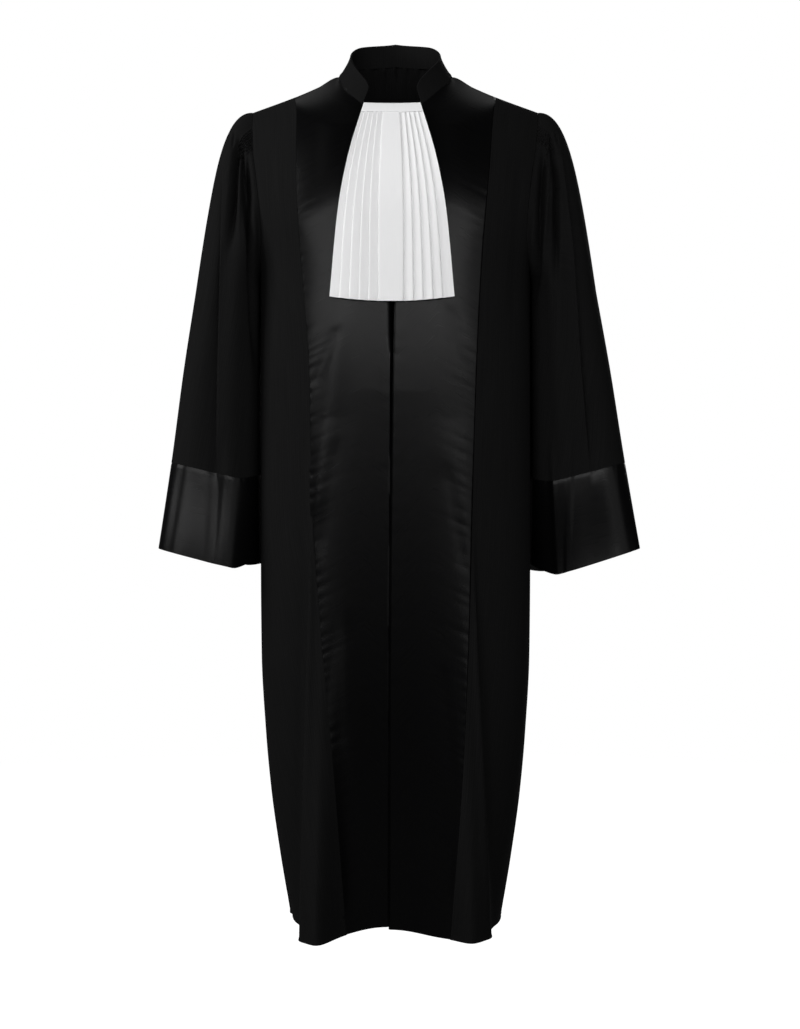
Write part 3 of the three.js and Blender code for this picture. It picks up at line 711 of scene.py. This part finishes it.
def facing(side):
    sign = SIGNS[side]
    share, fall = grid(FACING_ROWS, FACING_COLUMNS, crowd=0.7)
    top_x, top_y, top_z = facing_top(side, share)
    start_x, _, start_z = (float(v) for v in facing_top(side, np.array(0.0)))

    def edge(z):
        over = along(OPENING, "x", z) + (0 if sign > 0 else UNDERLAP)
        return mix(start_x, over, ease((start_z - z) / OPENING_DROP))

    def level(z):
        return mix(edge(z), seam_x(side, z) + sign * SEAM_TUCK, share)

    z = mix(top_z, hem_height(sign, level(HEM_Z)), fall)
    x = mix(top_x - level(top_z), 0, ease((top_z - z) / COLUMN_SETTLE)) + level(z)
    y = settle(-1, top_x, top_y, top_z, x, z) - front_folds(x, z)
    opening = along(OPENING, "x", z)
    lower = ease((top_z - z) / UNDERLAP_DROP)
    if sign < 0:
        width = along(SLOT, "width", z)
        y += along(SLOT, "depth", z) * lower * ease((x - opening + width) / (width + SLOT_BEYOND))
    else:
        y += EDGE_ROLL * lower * (1 - ease((x - opening) / EDGE_ROLL_WIDTH)) ** 2
    points = np.stack([x, y, z], axis=-1)
    from_corner = np.hypot(np.abs(x) - NECK_HALF_WIDTH, z + NECK_CALM_DROP)
    even_out(points, ease(2 - from_corner / NECK_CALM_REACH), NECK_CALM_ROUNDS)
    away = sign * (seam_x(side, z) - x)
    rise = puckers(3 + sign, z, np.abs(away), 0.016, 0.014, 0.0007, lean=0.45)
    rise += puckers(9 + sign, z, np.abs(x - opening), 0.034, 0.010, 0.0003)
    rise *= pulled_below(top_z - z)
    rise += creases(FACING_CREASES[side], away, z)
    rise -= SATIN_SINK + SEAM_GROOVE[side] * (1 - ease((away + 0.0002) / SEAM_STEP))
    if sign < 0:
        points, rise = points[:, ::-1], rise[:, ::-1]
    points = points + normals(points) * rise[..., None]
    return cloth(f"facing_{side}_cloth", points, SATIN_CLOTH, SATIN)


facings = {side: facing(side) for side in SIGNS}

# %% [markdown]
# The wool fronts run from the facing seam round to the side seam, and up to the shoulder and
# the armhole. They hang smooth over the chest. From the waist down a fold line follows each
# lobe's outer flank: a narrow ridge, and beside it a ledge where the cloth falls back. Both run
# out just before the facing seam and the side seam, so that the pieces still meet edge to edge.

# %% Make the fronts
FRONT_COLUMNS = 104
FRONT_ROWS = 230
FOLDS_END = 0.010
FOLDS_END_SHARE = 0.06
HEM_DEPTH = 0.030
HEM_RIDGE = 0.0010
FRONT_CREASES = {
    "right": table(
        "top foot at_top at_foot width depth",
        (-0.470, -1.550, 0.1172, 0.1447, 0.0045, 0.0045),
        (-0.130, -0.420, 0.196, 0.178, 0.010, -0.0018)),
    "left": table(
        "top foot at_top at_foot width depth",
        (-0.500, -1.550, 0.1021, 0.1503, 0.0045, 0.0045),
        (-0.130, -0.420, 0.192, 0.176, 0.010, -0.0018)),
}
FRONT_LEDGES = {
    "right": table(
        "top foot at_top at_foot width depth", (-0.470, -1.550, 0.1188, 0.1463, 0.030, -0.0130)),
    "left": table(
        "top foot at_top at_foot width depth", (-0.500, -1.550, 0.1037, 0.1519, 0.026, -0.0040)),
}


def hem_stitches(x, z, hem):
    """A shallow ridge where the turned-up hem ends, pulled in at its uneven stitches."""
    above = z - hem
    line = hump(above - HEM_DEPTH, 0.0018)
    fold = 1 - ease(above / 0.004)
    return HEM_RIDGE * (fold - line * (1 + 0.5 * np.sin(x / 0.0035)))


def front(side):
    sign = SIGNS[side]
    share, fall = grid(FRONT_ROWS, FRONT_COLUMNS, crowd=-0.3)

    def across(z):
        seam = np.abs(seam_x(side, z)) + SEAM_GAP / 2
        return across_at(sign, share, np.arcsin(seam / along(BODY, "half", z)), z)

    top_x = mix(FACING_SEAM["left"][-1] + SEAM_GAP / 2, SHOULDER_X, share)
    top_z = along(SHOULDER, "front", top_x)
    z = mix(top_z, hem_height(sign, across(np.full_like(share, HEM_Z))), fall)
    x = mix(sign * top_x - across(top_z), 0, ease((top_z - z) / COLUMN_SETTLE)) + across(z)
    y = settle(-1, top_x, -SEAM_GAP, top_z, x, z) - front_folds(x, z)
    points = np.stack([x, y, z], axis=-1)
    away = np.abs(x - seam_x(side, z))
    rise = 0.5 * puckers(5 + sign, z, away, 0.020, 0.008, 0.0005, lean=-0.3)
    rise *= pulled_below(top_z - z)
    folds = creases(FRONT_CREASES[side], np.abs(x), z)
    folds += creases(FRONT_LEDGES[side], np.abs(x), z, ledge=True)
    rise += folds * ease((1 - share) / FOLDS_END_SHARE) * ease(away / FOLDS_END)
    rise += hem_stitches(x, z, hem_height(sign, x))
    if sign < 0:
        points, rise = points[:, ::-1], rise[:, ::-1]
    points = points + normals(points) * rise[..., None]
    return cloth(f"front_{side}_cloth", points, WOOL_CLOTH, WOOL, middle=1.0 if sign < 0 else 0.0)


fronts = {side: front(side) for side in SIGNS}

# %% [markdown]
# The back is one wide panel, gathered small into the collar and falling open in deep flutes.
# The gathers show inside the neck. Real flutes start together under the collar and drift apart
# on their way to the hem, so each has a place at the neck and another at the hem. An array of
# one flute would look machine-made, so width, rise and spacing all differ.

# %% Make the back
BACK_COLUMNS = 168
BACK_ROWS = 250
BACK_NECK_SHARE = 0.375
BACK_ROW_CROWD = 1.15
BACK_FLUTES = table(
    "neck hem width rise",
    (-0.53, -0.875, 0.085, 0.019),
    (-0.33, -0.625, 0.075, 0.027),
    (-0.19, -0.375, 0.085, 0.023),
    (-0.06, -0.125, 0.070, 0.030),
    (0.07, 0.125, 0.085, 0.025),
    (0.20, 0.375, 0.075, 0.029),
    (0.34, 0.625, 0.085, 0.022),
    (0.54, 0.875, 0.080, 0.020))
FLUTE_START_Z = -0.020
FLUTE_NECK_SHARE = 0.16
GATHER_REACH = 0.016
GATHER_RISE = 0.0020


def back_flutes(across, z, top_z):
    fall = np.clip((FLUTE_START_Z + top_z - z) / (FLUTE_START_Z + top_z - HEM_Z), 0, 1)
    share = mix(FLUTE_NECK_SHARE, 1, fall ** 0.8) * ease((top_z - z) / 0.040)
    rise = np.zeros_like(z)
    for neck, hem, width, height in zip(*BACK_FLUTES.values()):
        at = mix(neck, hem, ease(fall * 1.6))
        rise += height * hump(across - at, width * mix(0.75, 1, fall))
    return rise * share


def back_gathers(across, drop):
    """Small gathers under the collar, of uneven width, which run out in the flutes."""
    ripple = np.sin(110 * across + 1.3 * np.sin(23 * across)) + 0.5 * np.sin(61 * across + 1)
    ripple += np.sin(250 * across + np.sin(37 * across)) * hump(across - 0.04, 0.14)
    reach = GATHER_REACH * (1 + 0.5 * np.sin(17 * across + 2))
    inside = ease((BACK_NECK_SHARE - 0.02 - np.abs(across)) / 0.08)
    return GATHER_RISE * ripple * inside * np.exp(-drop / reach) * ease(drop / 0.003)


def back():
    share, fall = grid(BACK_ROWS, BACK_COLUMNS, crowd=-0.5)
    across = 1 - 2 * share
    reach, sign = np.abs(across), np.sign(across)
    on_neck = reach <= BACK_NECK_SHARE
    neck_x, neck_y, neck_z = neck_point(90 * np.clip(across / BACK_NECK_SHARE, -1, 1))
    outer = np.clip((reach - BACK_NECK_SHARE) / (1 - BACK_NECK_SHARE), 0, 1)
    shoulder_x = mix(NECK_HALF_WIDTH, SHOULDER_X, outer)
    top_x = np.where(on_neck, neck_x, sign * shoulder_x)
    top_y = np.where(on_neck, neck_y + SEAM_GAP * reach / BACK_NECK_SHARE, SEAM_GAP)
    top_z = np.where(on_neck, neck_z, along(SHOULDER, "back", shoulder_x))
    z = mix(top_z, HEM_Z, fall ** BACK_ROW_CROWD)
    from_level = top_x - across_at(sign, reach, 0, top_z)
    x = mix(from_level, 0, ease((top_z - z) / COLUMN_SETTLE)) + across_at(sign, reach, 0, z)
    flutes = back_flutes(across, z, top_z) * ease((1 - reach) / 0.1)
    y = settle(1, top_x, top_y, top_z, x, z) + flutes
    points = np.stack([x, y, z], axis=-1)
    rise = back_gathers(across, top_z - z) + hem_stitches(x, z, HEM_Z)
    points = points + normals(points) * rise[..., None]
    return cloth("back_cloth", points, WOOL_CLOTH, WOOL, middle=0.5)


back_piece = back()

# %% [markdown]
# Each sleeve is a wide tube, pleated into the top of the armhole and falling into long folds.
# Its sections are level rings that tilt outwards at the cuff, and the satin cuff carries them
# on. The angle goes round a sleeve from its outer side by the front. The pleats of the head
# open into the long troughs below, and the side towards the body stays just clear of it.
#
# The cuff's folds begin in the wool above it, because a fold runs on through the seam. The
# front of the left cuff hangs back towards its foot and the right one's a little forward. Both
# sleeves come from one function, with a table of creases each. The back of a sleeve takes the
# other one's creases, so the pair isn't a mirror image.

# %% Sleeve sizes
SLEEVE_COLUMNS = 230
CUFF_COLUMNS = 168
HEAD_ROWS = 96
SLEEVE_ROWS = 44
CUFF_ROWS = 44
CUFF_Z = -0.620
SLEEVE_CLEARANCE = 0.003
SLEEVE_HUG = 0.020
SLEEVE_HUG_ANGLE = 214
SLEEVE_HUG_WIDTH = 26
HEAD_REACH = 0.046
HEAD_RISE = 0.003
SLEEVE_SLOPE = 0.147
INNER_LIFT = 0.028
INNER_SHARE = 0.25
FOLD_START_Z = -0.120
SLEEVE = table(
    "z outer inner depth y tilt",
    (-0.350, 0.310, 0.210, 0.086, 0.004, 0.020),
    (-0.480, 0.3295, 0.2105, 0.090, 0.010, 0.026),
    (-0.620, 0.347, 0.210, 0.092, 0.016, 0.032),
    (-0.756, 0.365, 0.2095, 0.100, 0.015, 0.040))
SLEEVE_CURVE = table(
    "z front inner back",
    (-0.350, 0.60, 0.40, 0.62),
    (-0.480, 0.52, 0.36, 0.58),
    (-0.620, 0.36, 0.42, 0.50),
    (-0.756, 0.25, 0.80, 0.44))
SLEEVE_TOP_Z = SLEEVE["z"][-1]
SLEEVE_FOOT_Z = SLEEVE["z"][0]
SWING = {"right": 0.0, "left": 0.012}
DROP = {"right": 0.0, "left": 0.013}
SLEEVE_FOLDS = table(
    "angle width top foot",
    (52, 16, -0.002, 0.0015),
    (84, 15, -0.005, -0.0015),
    (112, 13, 0.003, 0.002),
    (136, 14, -0.001, -0.001),
    (232, 18, 0.004, 0.006),
    (264, 17, -0.006, -0.007),
    (300, 18, 0.004, 0.005))

# %% Sleeve creases and the pleats of the head
SLEEVE_CREASES = {
    "right": table(
        "top foot x_1 x_2 x_3 x_4 width depth",
        (-0.094, -0.300, 0.2405, 0.2455, 0.2490, 0.2520, 0.0056, -0.0170),
        (-0.105, -0.275, 0.2345, 0.2335, 0.2290, 0.2220, 0.0034, -0.0120),
        (-0.112, -0.480, 0.2262, 0.2232, 0.2170, 0.2120, 0.0040, -0.0190),
        (-0.110, -0.300, 0.2385, 0.2405, 0.2390, 0.2370, 0.0040, 0.0035),
        (-0.088, -0.128, 0.2500, 0.2508, 0.2516, 0.2525, 0.0022, -0.0030),
        (-0.084, -0.122, 0.2570, 0.2580, 0.2590, 0.2600, 0.0022, -0.0025)),
    "left": table(
        "top foot x_1 x_2 x_3 x_4 width depth",
        (-0.108, -0.400, 0.2291, 0.2230, 0.2150, 0.2030, 0.0055, -0.0160),
        (-0.086, -0.370, 0.2376, 0.2475, 0.2450, 0.2425, 0.0044, -0.0150),
        (-0.122, -0.155, 0.2345, 0.2350, 0.2350, 0.2345, 0.0025, -0.0050),
        (-0.130, -0.350, 0.2320, 0.2312, 0.2250, 0.2205, 0.0040, 0.0040),
        (-0.090, -0.660, 0.2510, 0.2709, 0.2827, 0.2993, 0.0024, 0.0020),
        (-0.090, -0.120, 0.2480, 0.2490, 0.2500, 0.2510, 0.0022, -0.0025)),
}
SLEEVE_LEDGES = {
    "right": table(
        "top foot x_1 x_2 x_3 x_4 width depth",
        (-0.120, -0.660, 0.2650, 0.2680, 0.2700, 0.2720, 0.0180, -0.0095)),
    "left": table(
        "top foot x_1 x_2 x_3 x_4 width depth",
        (-0.090, -0.660, 0.2520, 0.2719, 0.2837, 0.3003, 0.0220, -0.0085)),
}
OTHER = {"right": "left", "left": "right"}
HEAD_FAN = table(
    "side top foot outer",
    (-1, -0.084, -0.130, 0.250),
    (1, -0.077, -0.120, 0.247))
HEAD_FAN_PITCH = 0.0050
HEAD_FAN_SLOPE = 0.55
HEAD_FAN_BEND = 26
HEAD_FAN_DEPTH = 0.0015

# %% The sleeve's form


def armhole_point(side, angle):
    share = np.where(angle <= 180, angle / 180, 2 - angle / 180)
    z = mix(SHOULDER_Z, UNDERARM_Z, (1 - np.cos(np.pi * share)) / 2)
    x = edge_x(SIGNS[side], z)
    y = np.where(angle <= 180, body_y(-1, x, z), body_y(1, x, z))
    return np.stack([x + SEAM_GAP, y, z], axis=-1)


def sleeve_fall(z):
    return np.clip((SLEEVE_TOP_Z - z) / (SLEEVE_TOP_Z - SLEEVE_FOOT_Z), 0, 1)


def sleeve_section(angle, z, side):
    turn = np.radians(angle)
    outward = (1 + np.cos(turn)) / 2
    swing = SWING[side] * mix(0.15, 1, sleeve_fall(z))
    x = mix(along(SLEEVE, "inner", z), along(SLEEVE, "outer", z) + swing, outward)
    x = x - SLEEVE_HUG * hump(angle - SLEEVE_HUG_ANGLE, SLEEVE_HUG_WIDTH)
    front = np.where(
        np.cos(turn) > 0, along(SLEEVE_CURVE, "front", z), along(SLEEVE_CURVE, "inner", z))
    curve = np.where(np.sin(turn) > 0, front, along(SLEEVE_CURVE, "back", z))
    round_off = np.sign(np.sin(turn)) * np.abs(np.sin(turn)) ** curve
    y = along(SLEEVE, "y", z) - along(SLEEVE, "depth", z) * round_off
    inner = np.clip((INNER_SHARE - outward) / INNER_SHARE, 0, 1)
    lift = INNER_LIFT * inner ** 1.5 - DROP[side] * (1 - outward)
    tilt = along(SLEEVE, "tilt", z) * (outward - 0.5)
    return np.stack([x, y, z + tilt + lift * sleeve_fall(z) ** 2], axis=-1)


def sleeve_head(angle, share, side):
    """From the armhole the cloth runs out, then falls into the first section."""
    start = armhole_point(side, angle)
    end = sleeve_section(angle, np.full_like(angle, SLEEVE_TOP_Z), side)
    outward = (1 + np.cos(np.radians(angle))) / 2
    leave = np.stack([start[..., 0] + 0.001 + HEAD_REACH * outward ** 1.5,
                      start[..., 1] * mix(1, 1.14, outward),
                      start[..., 2] + HEAD_RISE * outward], axis=-1)
    lift = 0.62 * (start[..., 2] - end[..., 2])
    arrive = np.stack([end[..., 0] - SLEEVE_SLOPE * lift * outward,
                       end[..., 1], end[..., 2] + lift], axis=-1)
    s = share[..., None]
    return ((1 - s) ** 3 * start + 3 * s * (1 - s) ** 2 * leave
            + 3 * s ** 2 * (1 - s) * arrive + s ** 3 * end)


# %% The sleeve's folds


def round_angle(offset):
    return (offset + 180) % 360 - 180


def broad_folds(angle, z):
    fall = np.clip((z - FOLD_START_Z) / (SLEEVE_FOOT_Z - FOLD_START_Z), 0, 1)
    rise = np.zeros_like(z)
    for centre, width, top, foot in zip(*SLEEVE_FOLDS.values()):
        rise += mix(top, foot, fall) * hump(round_angle(angle - centre), width)
    return rise * ease(fall * 6)


def path_creases(rows, face, angle, x, z, ledge=False):
    """Creases along paths across the front of a sleeve, where face is 1, or the back, -1."""
    rise = np.zeros_like(z)
    shown = ease(np.sin(np.radians(angle)) * face / 0.5)
    for top, foot, *path, width, depth in zip(*rows.values()):
        fall = (top - z) / (top - foot)
        fade = ease(fall * 5) * ease((1 - fall) * (4 if ledge else 2))
        out = x - np.interp(fall, np.linspace(0, 1, len(path)), path)
        rise += depth * shown * fade * profile(out, width, ledge)
    return rise


def sleeve_creases(side, angle, x, z):
    """The front has its own sleeve's creases, and the back those of the other sleeve."""
    rise = np.zeros_like(z)
    for key, face in ((side, 1), (OTHER[side], -1)):
        rise += path_creases(SLEEVE_CREASES[key], face, angle, x, z)
        rise += path_creases(SLEEVE_LEDGES[key], face, angle, x, z, ledge=True)
    return rise


def head_fan(side, angle, x, z):
    """Fine pleats that slant down and out from the top of the armhole, front and back."""
    at = list(HEAD_FAN["side"]).index(SIGNS[side])
    top, foot, outer = (HEAD_FAN[name][at] for name in ("top", "foot", "outer"))
    out = x - SHOULDER_X
    slant = z + HEAD_FAN_SLOPE * out + HEAD_FAN_BEND * out ** 2
    turn = 2 * np.pi * slant / HEAD_FAN_PITCH + 0.8 * np.sin(slant / 0.006)
    wave = np.sin(turn) + 0.35 * np.sin(2 * turn)
    inside = ease((top - slant) / 0.008) * ease((slant - foot) / 0.010)
    inside = inside * ease((outer - x) / 0.010)
    shown = ease(np.abs(np.sin(np.radians(angle))) / 0.2)
    return HEAD_FAN_DEPTH * wave * inside * shown


def clear_of_body(side, points):
    x, y, z = np.moveaxis(points, -1, 0)
    body = np.minimum(body_half_width(y, z), edge_x(SIGNS[side], z))
    clearance = SLEEVE_CLEARANCE * ease((UNDERARM_Z + 0.025 - z) / 0.05) + SEAM_GAP
    return np.stack([np.maximum(x, body + clearance), y, z], axis=-1)


# %% The cuffs' sizes and folds
CUFF_RADIUS = 0.09
CUFF_SINK = 0.0006
CUFF_BACK = {"right": -0.003, "left": 0.009}
CUFF_FOLD_LEAD = 0.080
CUFF_CREASES = {
    "right": table(
        "top foot x_1 x_2 width depth",
        (-0.400, -1.020, 0.2595, 0.2936, 0.0120, -0.0062)),
    "left": table(
        "top foot x_1 x_2 width depth",
        (-0.400, -1.020, 0.2290, 0.2641, 0.0050, 0.0034),
        (-0.400, -1.020, 0.2693, 0.2590, 0.0042, 0.0022)),
}


def finish_ring(name, side, points, rise, thickness, material):
    """Folds a sleeve's grid along its normals, keeps it clear and puts it on its side."""
    out = normals(points[:, ::-1], ring=True)[:, ::-1]
    points = clear_of_body(side, points + out * rise[..., None])
    points = points * np.array([SIGNS[side], 1, 1])
    if SIGNS[side] > 0:
        points = points[:, ::-1]
    return cloth(name, points, thickness, material, ring=True)


def ring_angles(count):
    """Angles round a sleeve, closer together in front and behind, and closest at the fans."""
    fine = np.linspace(0, 360, 3601)
    crowd = np.ones_like(fine)
    for centre, width, more in ((95, 40, 1), (265, 40, 1), (50, 16, 3), (310, 16, 3)):
        crowd += more * hump(fine - centre, width)
    return np.interp(np.arange(count) / count, np.cumsum(crowd) / crowd.sum(), fine)


def cuff_folds(side, angle, x, z):
    """The cuff's folds. They begin a little above it, in the wool."""
    rise = path_creases(CUFF_CREASES[side], 1, angle, x, z)
    rise += path_creases(CUFF_CREASES[OTHER[side]], -1, angle, x, z)
    return rise * ease((CUFF_Z + CUFF_FOLD_LEAD - z) / CUFF_FOLD_LEAD)


# %% Make the sleeves and cuffs


def sleeve(side):
    head = np.linspace(0, 1, HEAD_ROWS, endpoint=False) ** 1.6
    angles = ring_angles(SLEEVE_COLUMNS)
    angle, share = np.meshgrid(angles, head)
    upper = sleeve_head(angle, share, side)
    lower_angle, z = np.meshgrid(angles, np.linspace(SLEEVE_TOP_Z, CUFF_Z, SLEEVE_ROWS))
    lower = sleeve_section(lower_angle, z, side)
    points = np.concatenate([upper, lower])
    angle = np.concatenate([angle, lower_angle])
    height = np.concatenate([upper[..., 2], z])
    rise = broad_folds(angle, height) + sleeve_creases(side, angle, points[..., 0], height)
    rise += cuff_folds(side, angle, points[..., 0], height)
    rise *= ease(lengths(points, 0) / 0.012)
    rise += head_fan(side, angle, points[..., 0], height) * ease(lengths(points, 0) / 0.002)
    return finish_ring(f"sleeve_{side}_cloth", side, points, rise, WOOL_CLOTH, WOOL)


def cuff(side):
    angles = np.arange(CUFF_COLUMNS) * 360 / CUFF_COLUMNS
    angle, z = np.meshgrid(angles, np.linspace(CUFF_Z + SEAM_TUCK, SLEEVE_FOOT_Z, CUFF_ROWS))
    points = sleeve_section(angle, z, side)
    below = CUFF_Z - z
    in_front = ease(np.sin(np.radians(angle)) / 0.6)
    points[..., 1] += CUFF_BACK[side] * in_front * ease(below / (CUFF_Z - SLEEVE_FOOT_Z))
    rise = sleeve_creases(side, angle, points[..., 0], z) * (1 - ease(below / 0.03))
    rise += broad_folds(angle, z)
    rise += cuff_folds(side, angle, points[..., 0], z)
    rise -= CUFF_SINK * (1 - ease((below + 0.0002) / SEAM_STEP))
    around = np.radians(angle) * CUFF_RADIUS
    rise += puckers(11 + SIGNS[side], around, np.abs(below), 0.016, 0.012, 0.0006, lean=0.1)
    return finish_ring(f"cuff_{side}_cloth", side, points, rise, SATIN_CLOTH, SATIN)


sleeves = {side: sleeve(side) for side in SIGNS}
cuffs = {side: cuff(side) for side in SIGNS}

# %% [markdown]
# The collar is a low stand, doubled and stiffened, so it gets the thickest wall. It could be an
# extruded curve, but as a grid on the neck seam it follows that seam exactly. It leans in
# towards its top, and its front corners are rounded off.

# %% Make the collar
COLLAR_COLUMNS = 220
COLLAR_ROWS = 22
COLLAR_CLOTH = 0.003
COLLAR_HEIGHT = 0.031
COLLAR_LEAN = 0.018
COLLAR_DEPTH_LEAN = 0.006
COLLAR_LAP = 0.0025
COLLAR_OUT = 0.0008
CORNER_DROP = 0.006
CORNER_REACH = 7


def collar():
    share, fall = grid(COLLAR_ROWS, COLLAR_COLUMNS, crowd=0.5)
    angle = mix(NECK_END, -NECK_END, share)
    foot_x, foot_y, foot_z = neck_point(angle)
    rise = 1 - fall
    lean = 1 - (1 - rise) ** 1.4
    x = foot_x * (1 - COLLAR_LEAN / NECK_HALF_WIDTH * lean)
    y = foot_y * (1 - COLLAR_DEPTH_LEAN / NECK_HALF_DEPTH * lean)
    corner = CORNER_DROP * np.clip(1 - (NECK_END - np.abs(angle)) / CORNER_REACH, 0, 1) ** 2
    z = foot_z - COLLAR_LAP + (COLLAR_HEIGHT + COLLAR_LAP + COLLAR_OUT - corner) * rise
    points = np.stack([x, y, z], axis=-1)
    points = points + normals(points) * COLLAR_OUT
    return cloth("collar_cloth", points, COLLAR_CLOTH, WOOL, middle=0.5)


collar_piece = collar()

# %% [markdown]
# The jabot is a fan of knife pleats laid outwards from a flat middle. A knife pleat is three
# layers of cloth: the panel that shows, the part that turns back under its folded edge, and
# the start of the next panel. Each row of the grid walks through those layers in order, so the
# cloth really folds. The pleats are pressed narrow at the band and open towards the hem.

# %% Jabot sizes
LINEN_CLOTH = 0.0005
JABOT = table("z half", (-0.057, 0.043), (-0.149, 0.067), (-0.229, 0.081), (-0.361, 0.0935))
JABOT_TOP_Z = -0.057
JABOT_FOOT_Z = -0.359
FOOT_BOW = 0.0075
BAND_HEIGHT = 0.015
BAND_CLOTH = 0.0018
BAND_BOW = 0.0012
BAND_ROUND = 0.0008
JABOT_LIFT = 0.005
CHEST_FLAT_HALF = 0.057
PLEAT_RISE = 0.0045
JABOT_HEM = 0.0115
JABOT_HEM_EDGE = 0.0012
JABOT_HEM_RISE = 0.0004
UNDERLAP_TOP = 0.0022
UNDERLAP_FOOT = 0.0062
PLEATS = table(
    "order top foot",
    (1, 0.24, 0.17),
    (2, 0.40, 0.33),
    (3, 0.54, 0.486),
    (4, 0.686, 0.643),
    (5, 0.83, 0.80))
LEFT_EXTRA = 0.03
FOLD_COLUMNS = 4
PANEL_COLUMNS = 7
JABOT_ROWS = 96

# %% Make the jabot


def chest_y(x, z):
    """Just in front of the chest, which the jabot bridges flat instead of following its curve."""
    return body_y(-1, np.maximum(np.abs(x), CHEST_FLAT_HALF), z) - JABOT_LIFT


def pleat_walk(sign):
    """One half's columns, outwards from the middle, as (share at top, share at foot, under, rise).

    under is how far the cloth has turned back beneath the fold, as a share of the underlap."""
    walk = [(0.0, 0.0, 0.0, 1.0)]
    extra = LEFT_EXTRA if sign < 0 else 0.0
    lines = [(top + 2 * extra, foot + extra) for top, foot in zip(PLEATS["top"], PLEATS["foot"])]
    lines.append((1.0, 1.0))
    start = (0.0, 0.0)
    for number, (top, foot) in enumerate(lines):
        for step in range(1, PANEL_COLUMNS + 1):
            share = step / PANEL_COLUMNS
            level = 1.0 if number == 0 else share ** 0.6
            walk.append((mix(start[0], top, share), mix(start[1], foot, share), 0.0, level))
        if number < len(lines) - 1:
            for step in range(1, FOLD_COLUMNS + 1):
                turn = math.pi * step / FOLD_COLUMNS
                walk.append((top, foot, -0.22 * math.sin(turn), 0.78 + 0.22 * math.cos(turn)))
            for step in range(FOLD_COLUMNS + 1):
                turn = math.pi * step / FOLD_COLUMNS
                walk.append((top, foot, 0.85 + 0.15 * math.sin(turn), 0.28 + 0.22 * math.cos(turn)))
        start = (top, foot)
    return walk


def jabot():
    left, right = pleat_walk(-1), pleat_walk(1)
    walk = [(-top, -foot, -under, rise) for top, foot, under, rise in reversed(left)]
    walk += right[1:]
    top_share, foot_share, under, rise = np.array(walk).T
    fall = np.linspace(0, 1, JABOT_ROWS + 1)[:, None]
    opened = fall ** 0.8
    share = mix(top_share, foot_share, opened)
    start_z = JABOT_TOP_Z - BAND_HEIGHT - SEAM_GAP
    foot_z = JABOT_FOOT_Z - FOOT_BOW * (1 - share ** 2)
    z = mix(start_z, foot_z, fall)
    half = along(JABOT, "half", z)
    underlap = mix(UNDERLAP_TOP, UNDERLAP_FOOT, opened)
    x = along(OPENING, "x", OPENING_TOP_Z) + share * half - under * underlap
    in_hem = ease((JABOT_HEM - (z - foot_z)) / JABOT_HEM_EDGE)
    depth = PLEAT_RISE * mix(0.75, 1.0, opened)
    y = chest_y(x, z) - rise * depth - JABOT_HEM_RISE * in_hem * (rise > 0.6)
    points = np.stack([x, y, z], axis=-1)
    return cloth("jabot_cloth", points, LINEN_CLOTH, LINEN, middle=0.5)


def jabot_band():
    share, fall = grid(14, 60)
    share = 2 * share - 1
    z = JABOT_TOP_Z - BAND_BOW * (1 - share ** 2) - BAND_HEIGHT * fall
    x = along(OPENING, "x", OPENING_TOP_Z) + share * along(JABOT, "half", z)
    rounded = BAND_ROUND * (1 - (2 * fall - 1) ** 6)
    y = chest_y(x, z) - PLEAT_RISE - rounded
    points = np.stack([x, y, z], axis=-1)
    return cloth("jabot_band_cloth", points, BAND_CLOTH, LINEN, middle=0.5)


jabot_piece = jabot()
band_piece = jabot_band()

# %% [markdown]
# Each piece now hangs from the frame's root, and the wall of the frame that it stands for is
# hidden. These sizes were set after the made areas were known, so agreement shows that the two
# go together, not that the cut is right.

sew(collar_piece, "collar")
sew(back_piece, "back")
sew(facings["right"], "facing_right")
sew(facings["left"], "facing_left")
for side in SIGNS:
    sew(fronts[side], f"front_{side}")
    sew(sleeves[side], f"sleeve_{side}")
    sew(cuffs[side], f"cuff_{side}")
sew(jabot_piece, "jabot")
sew(band_piece, "jabot_band")
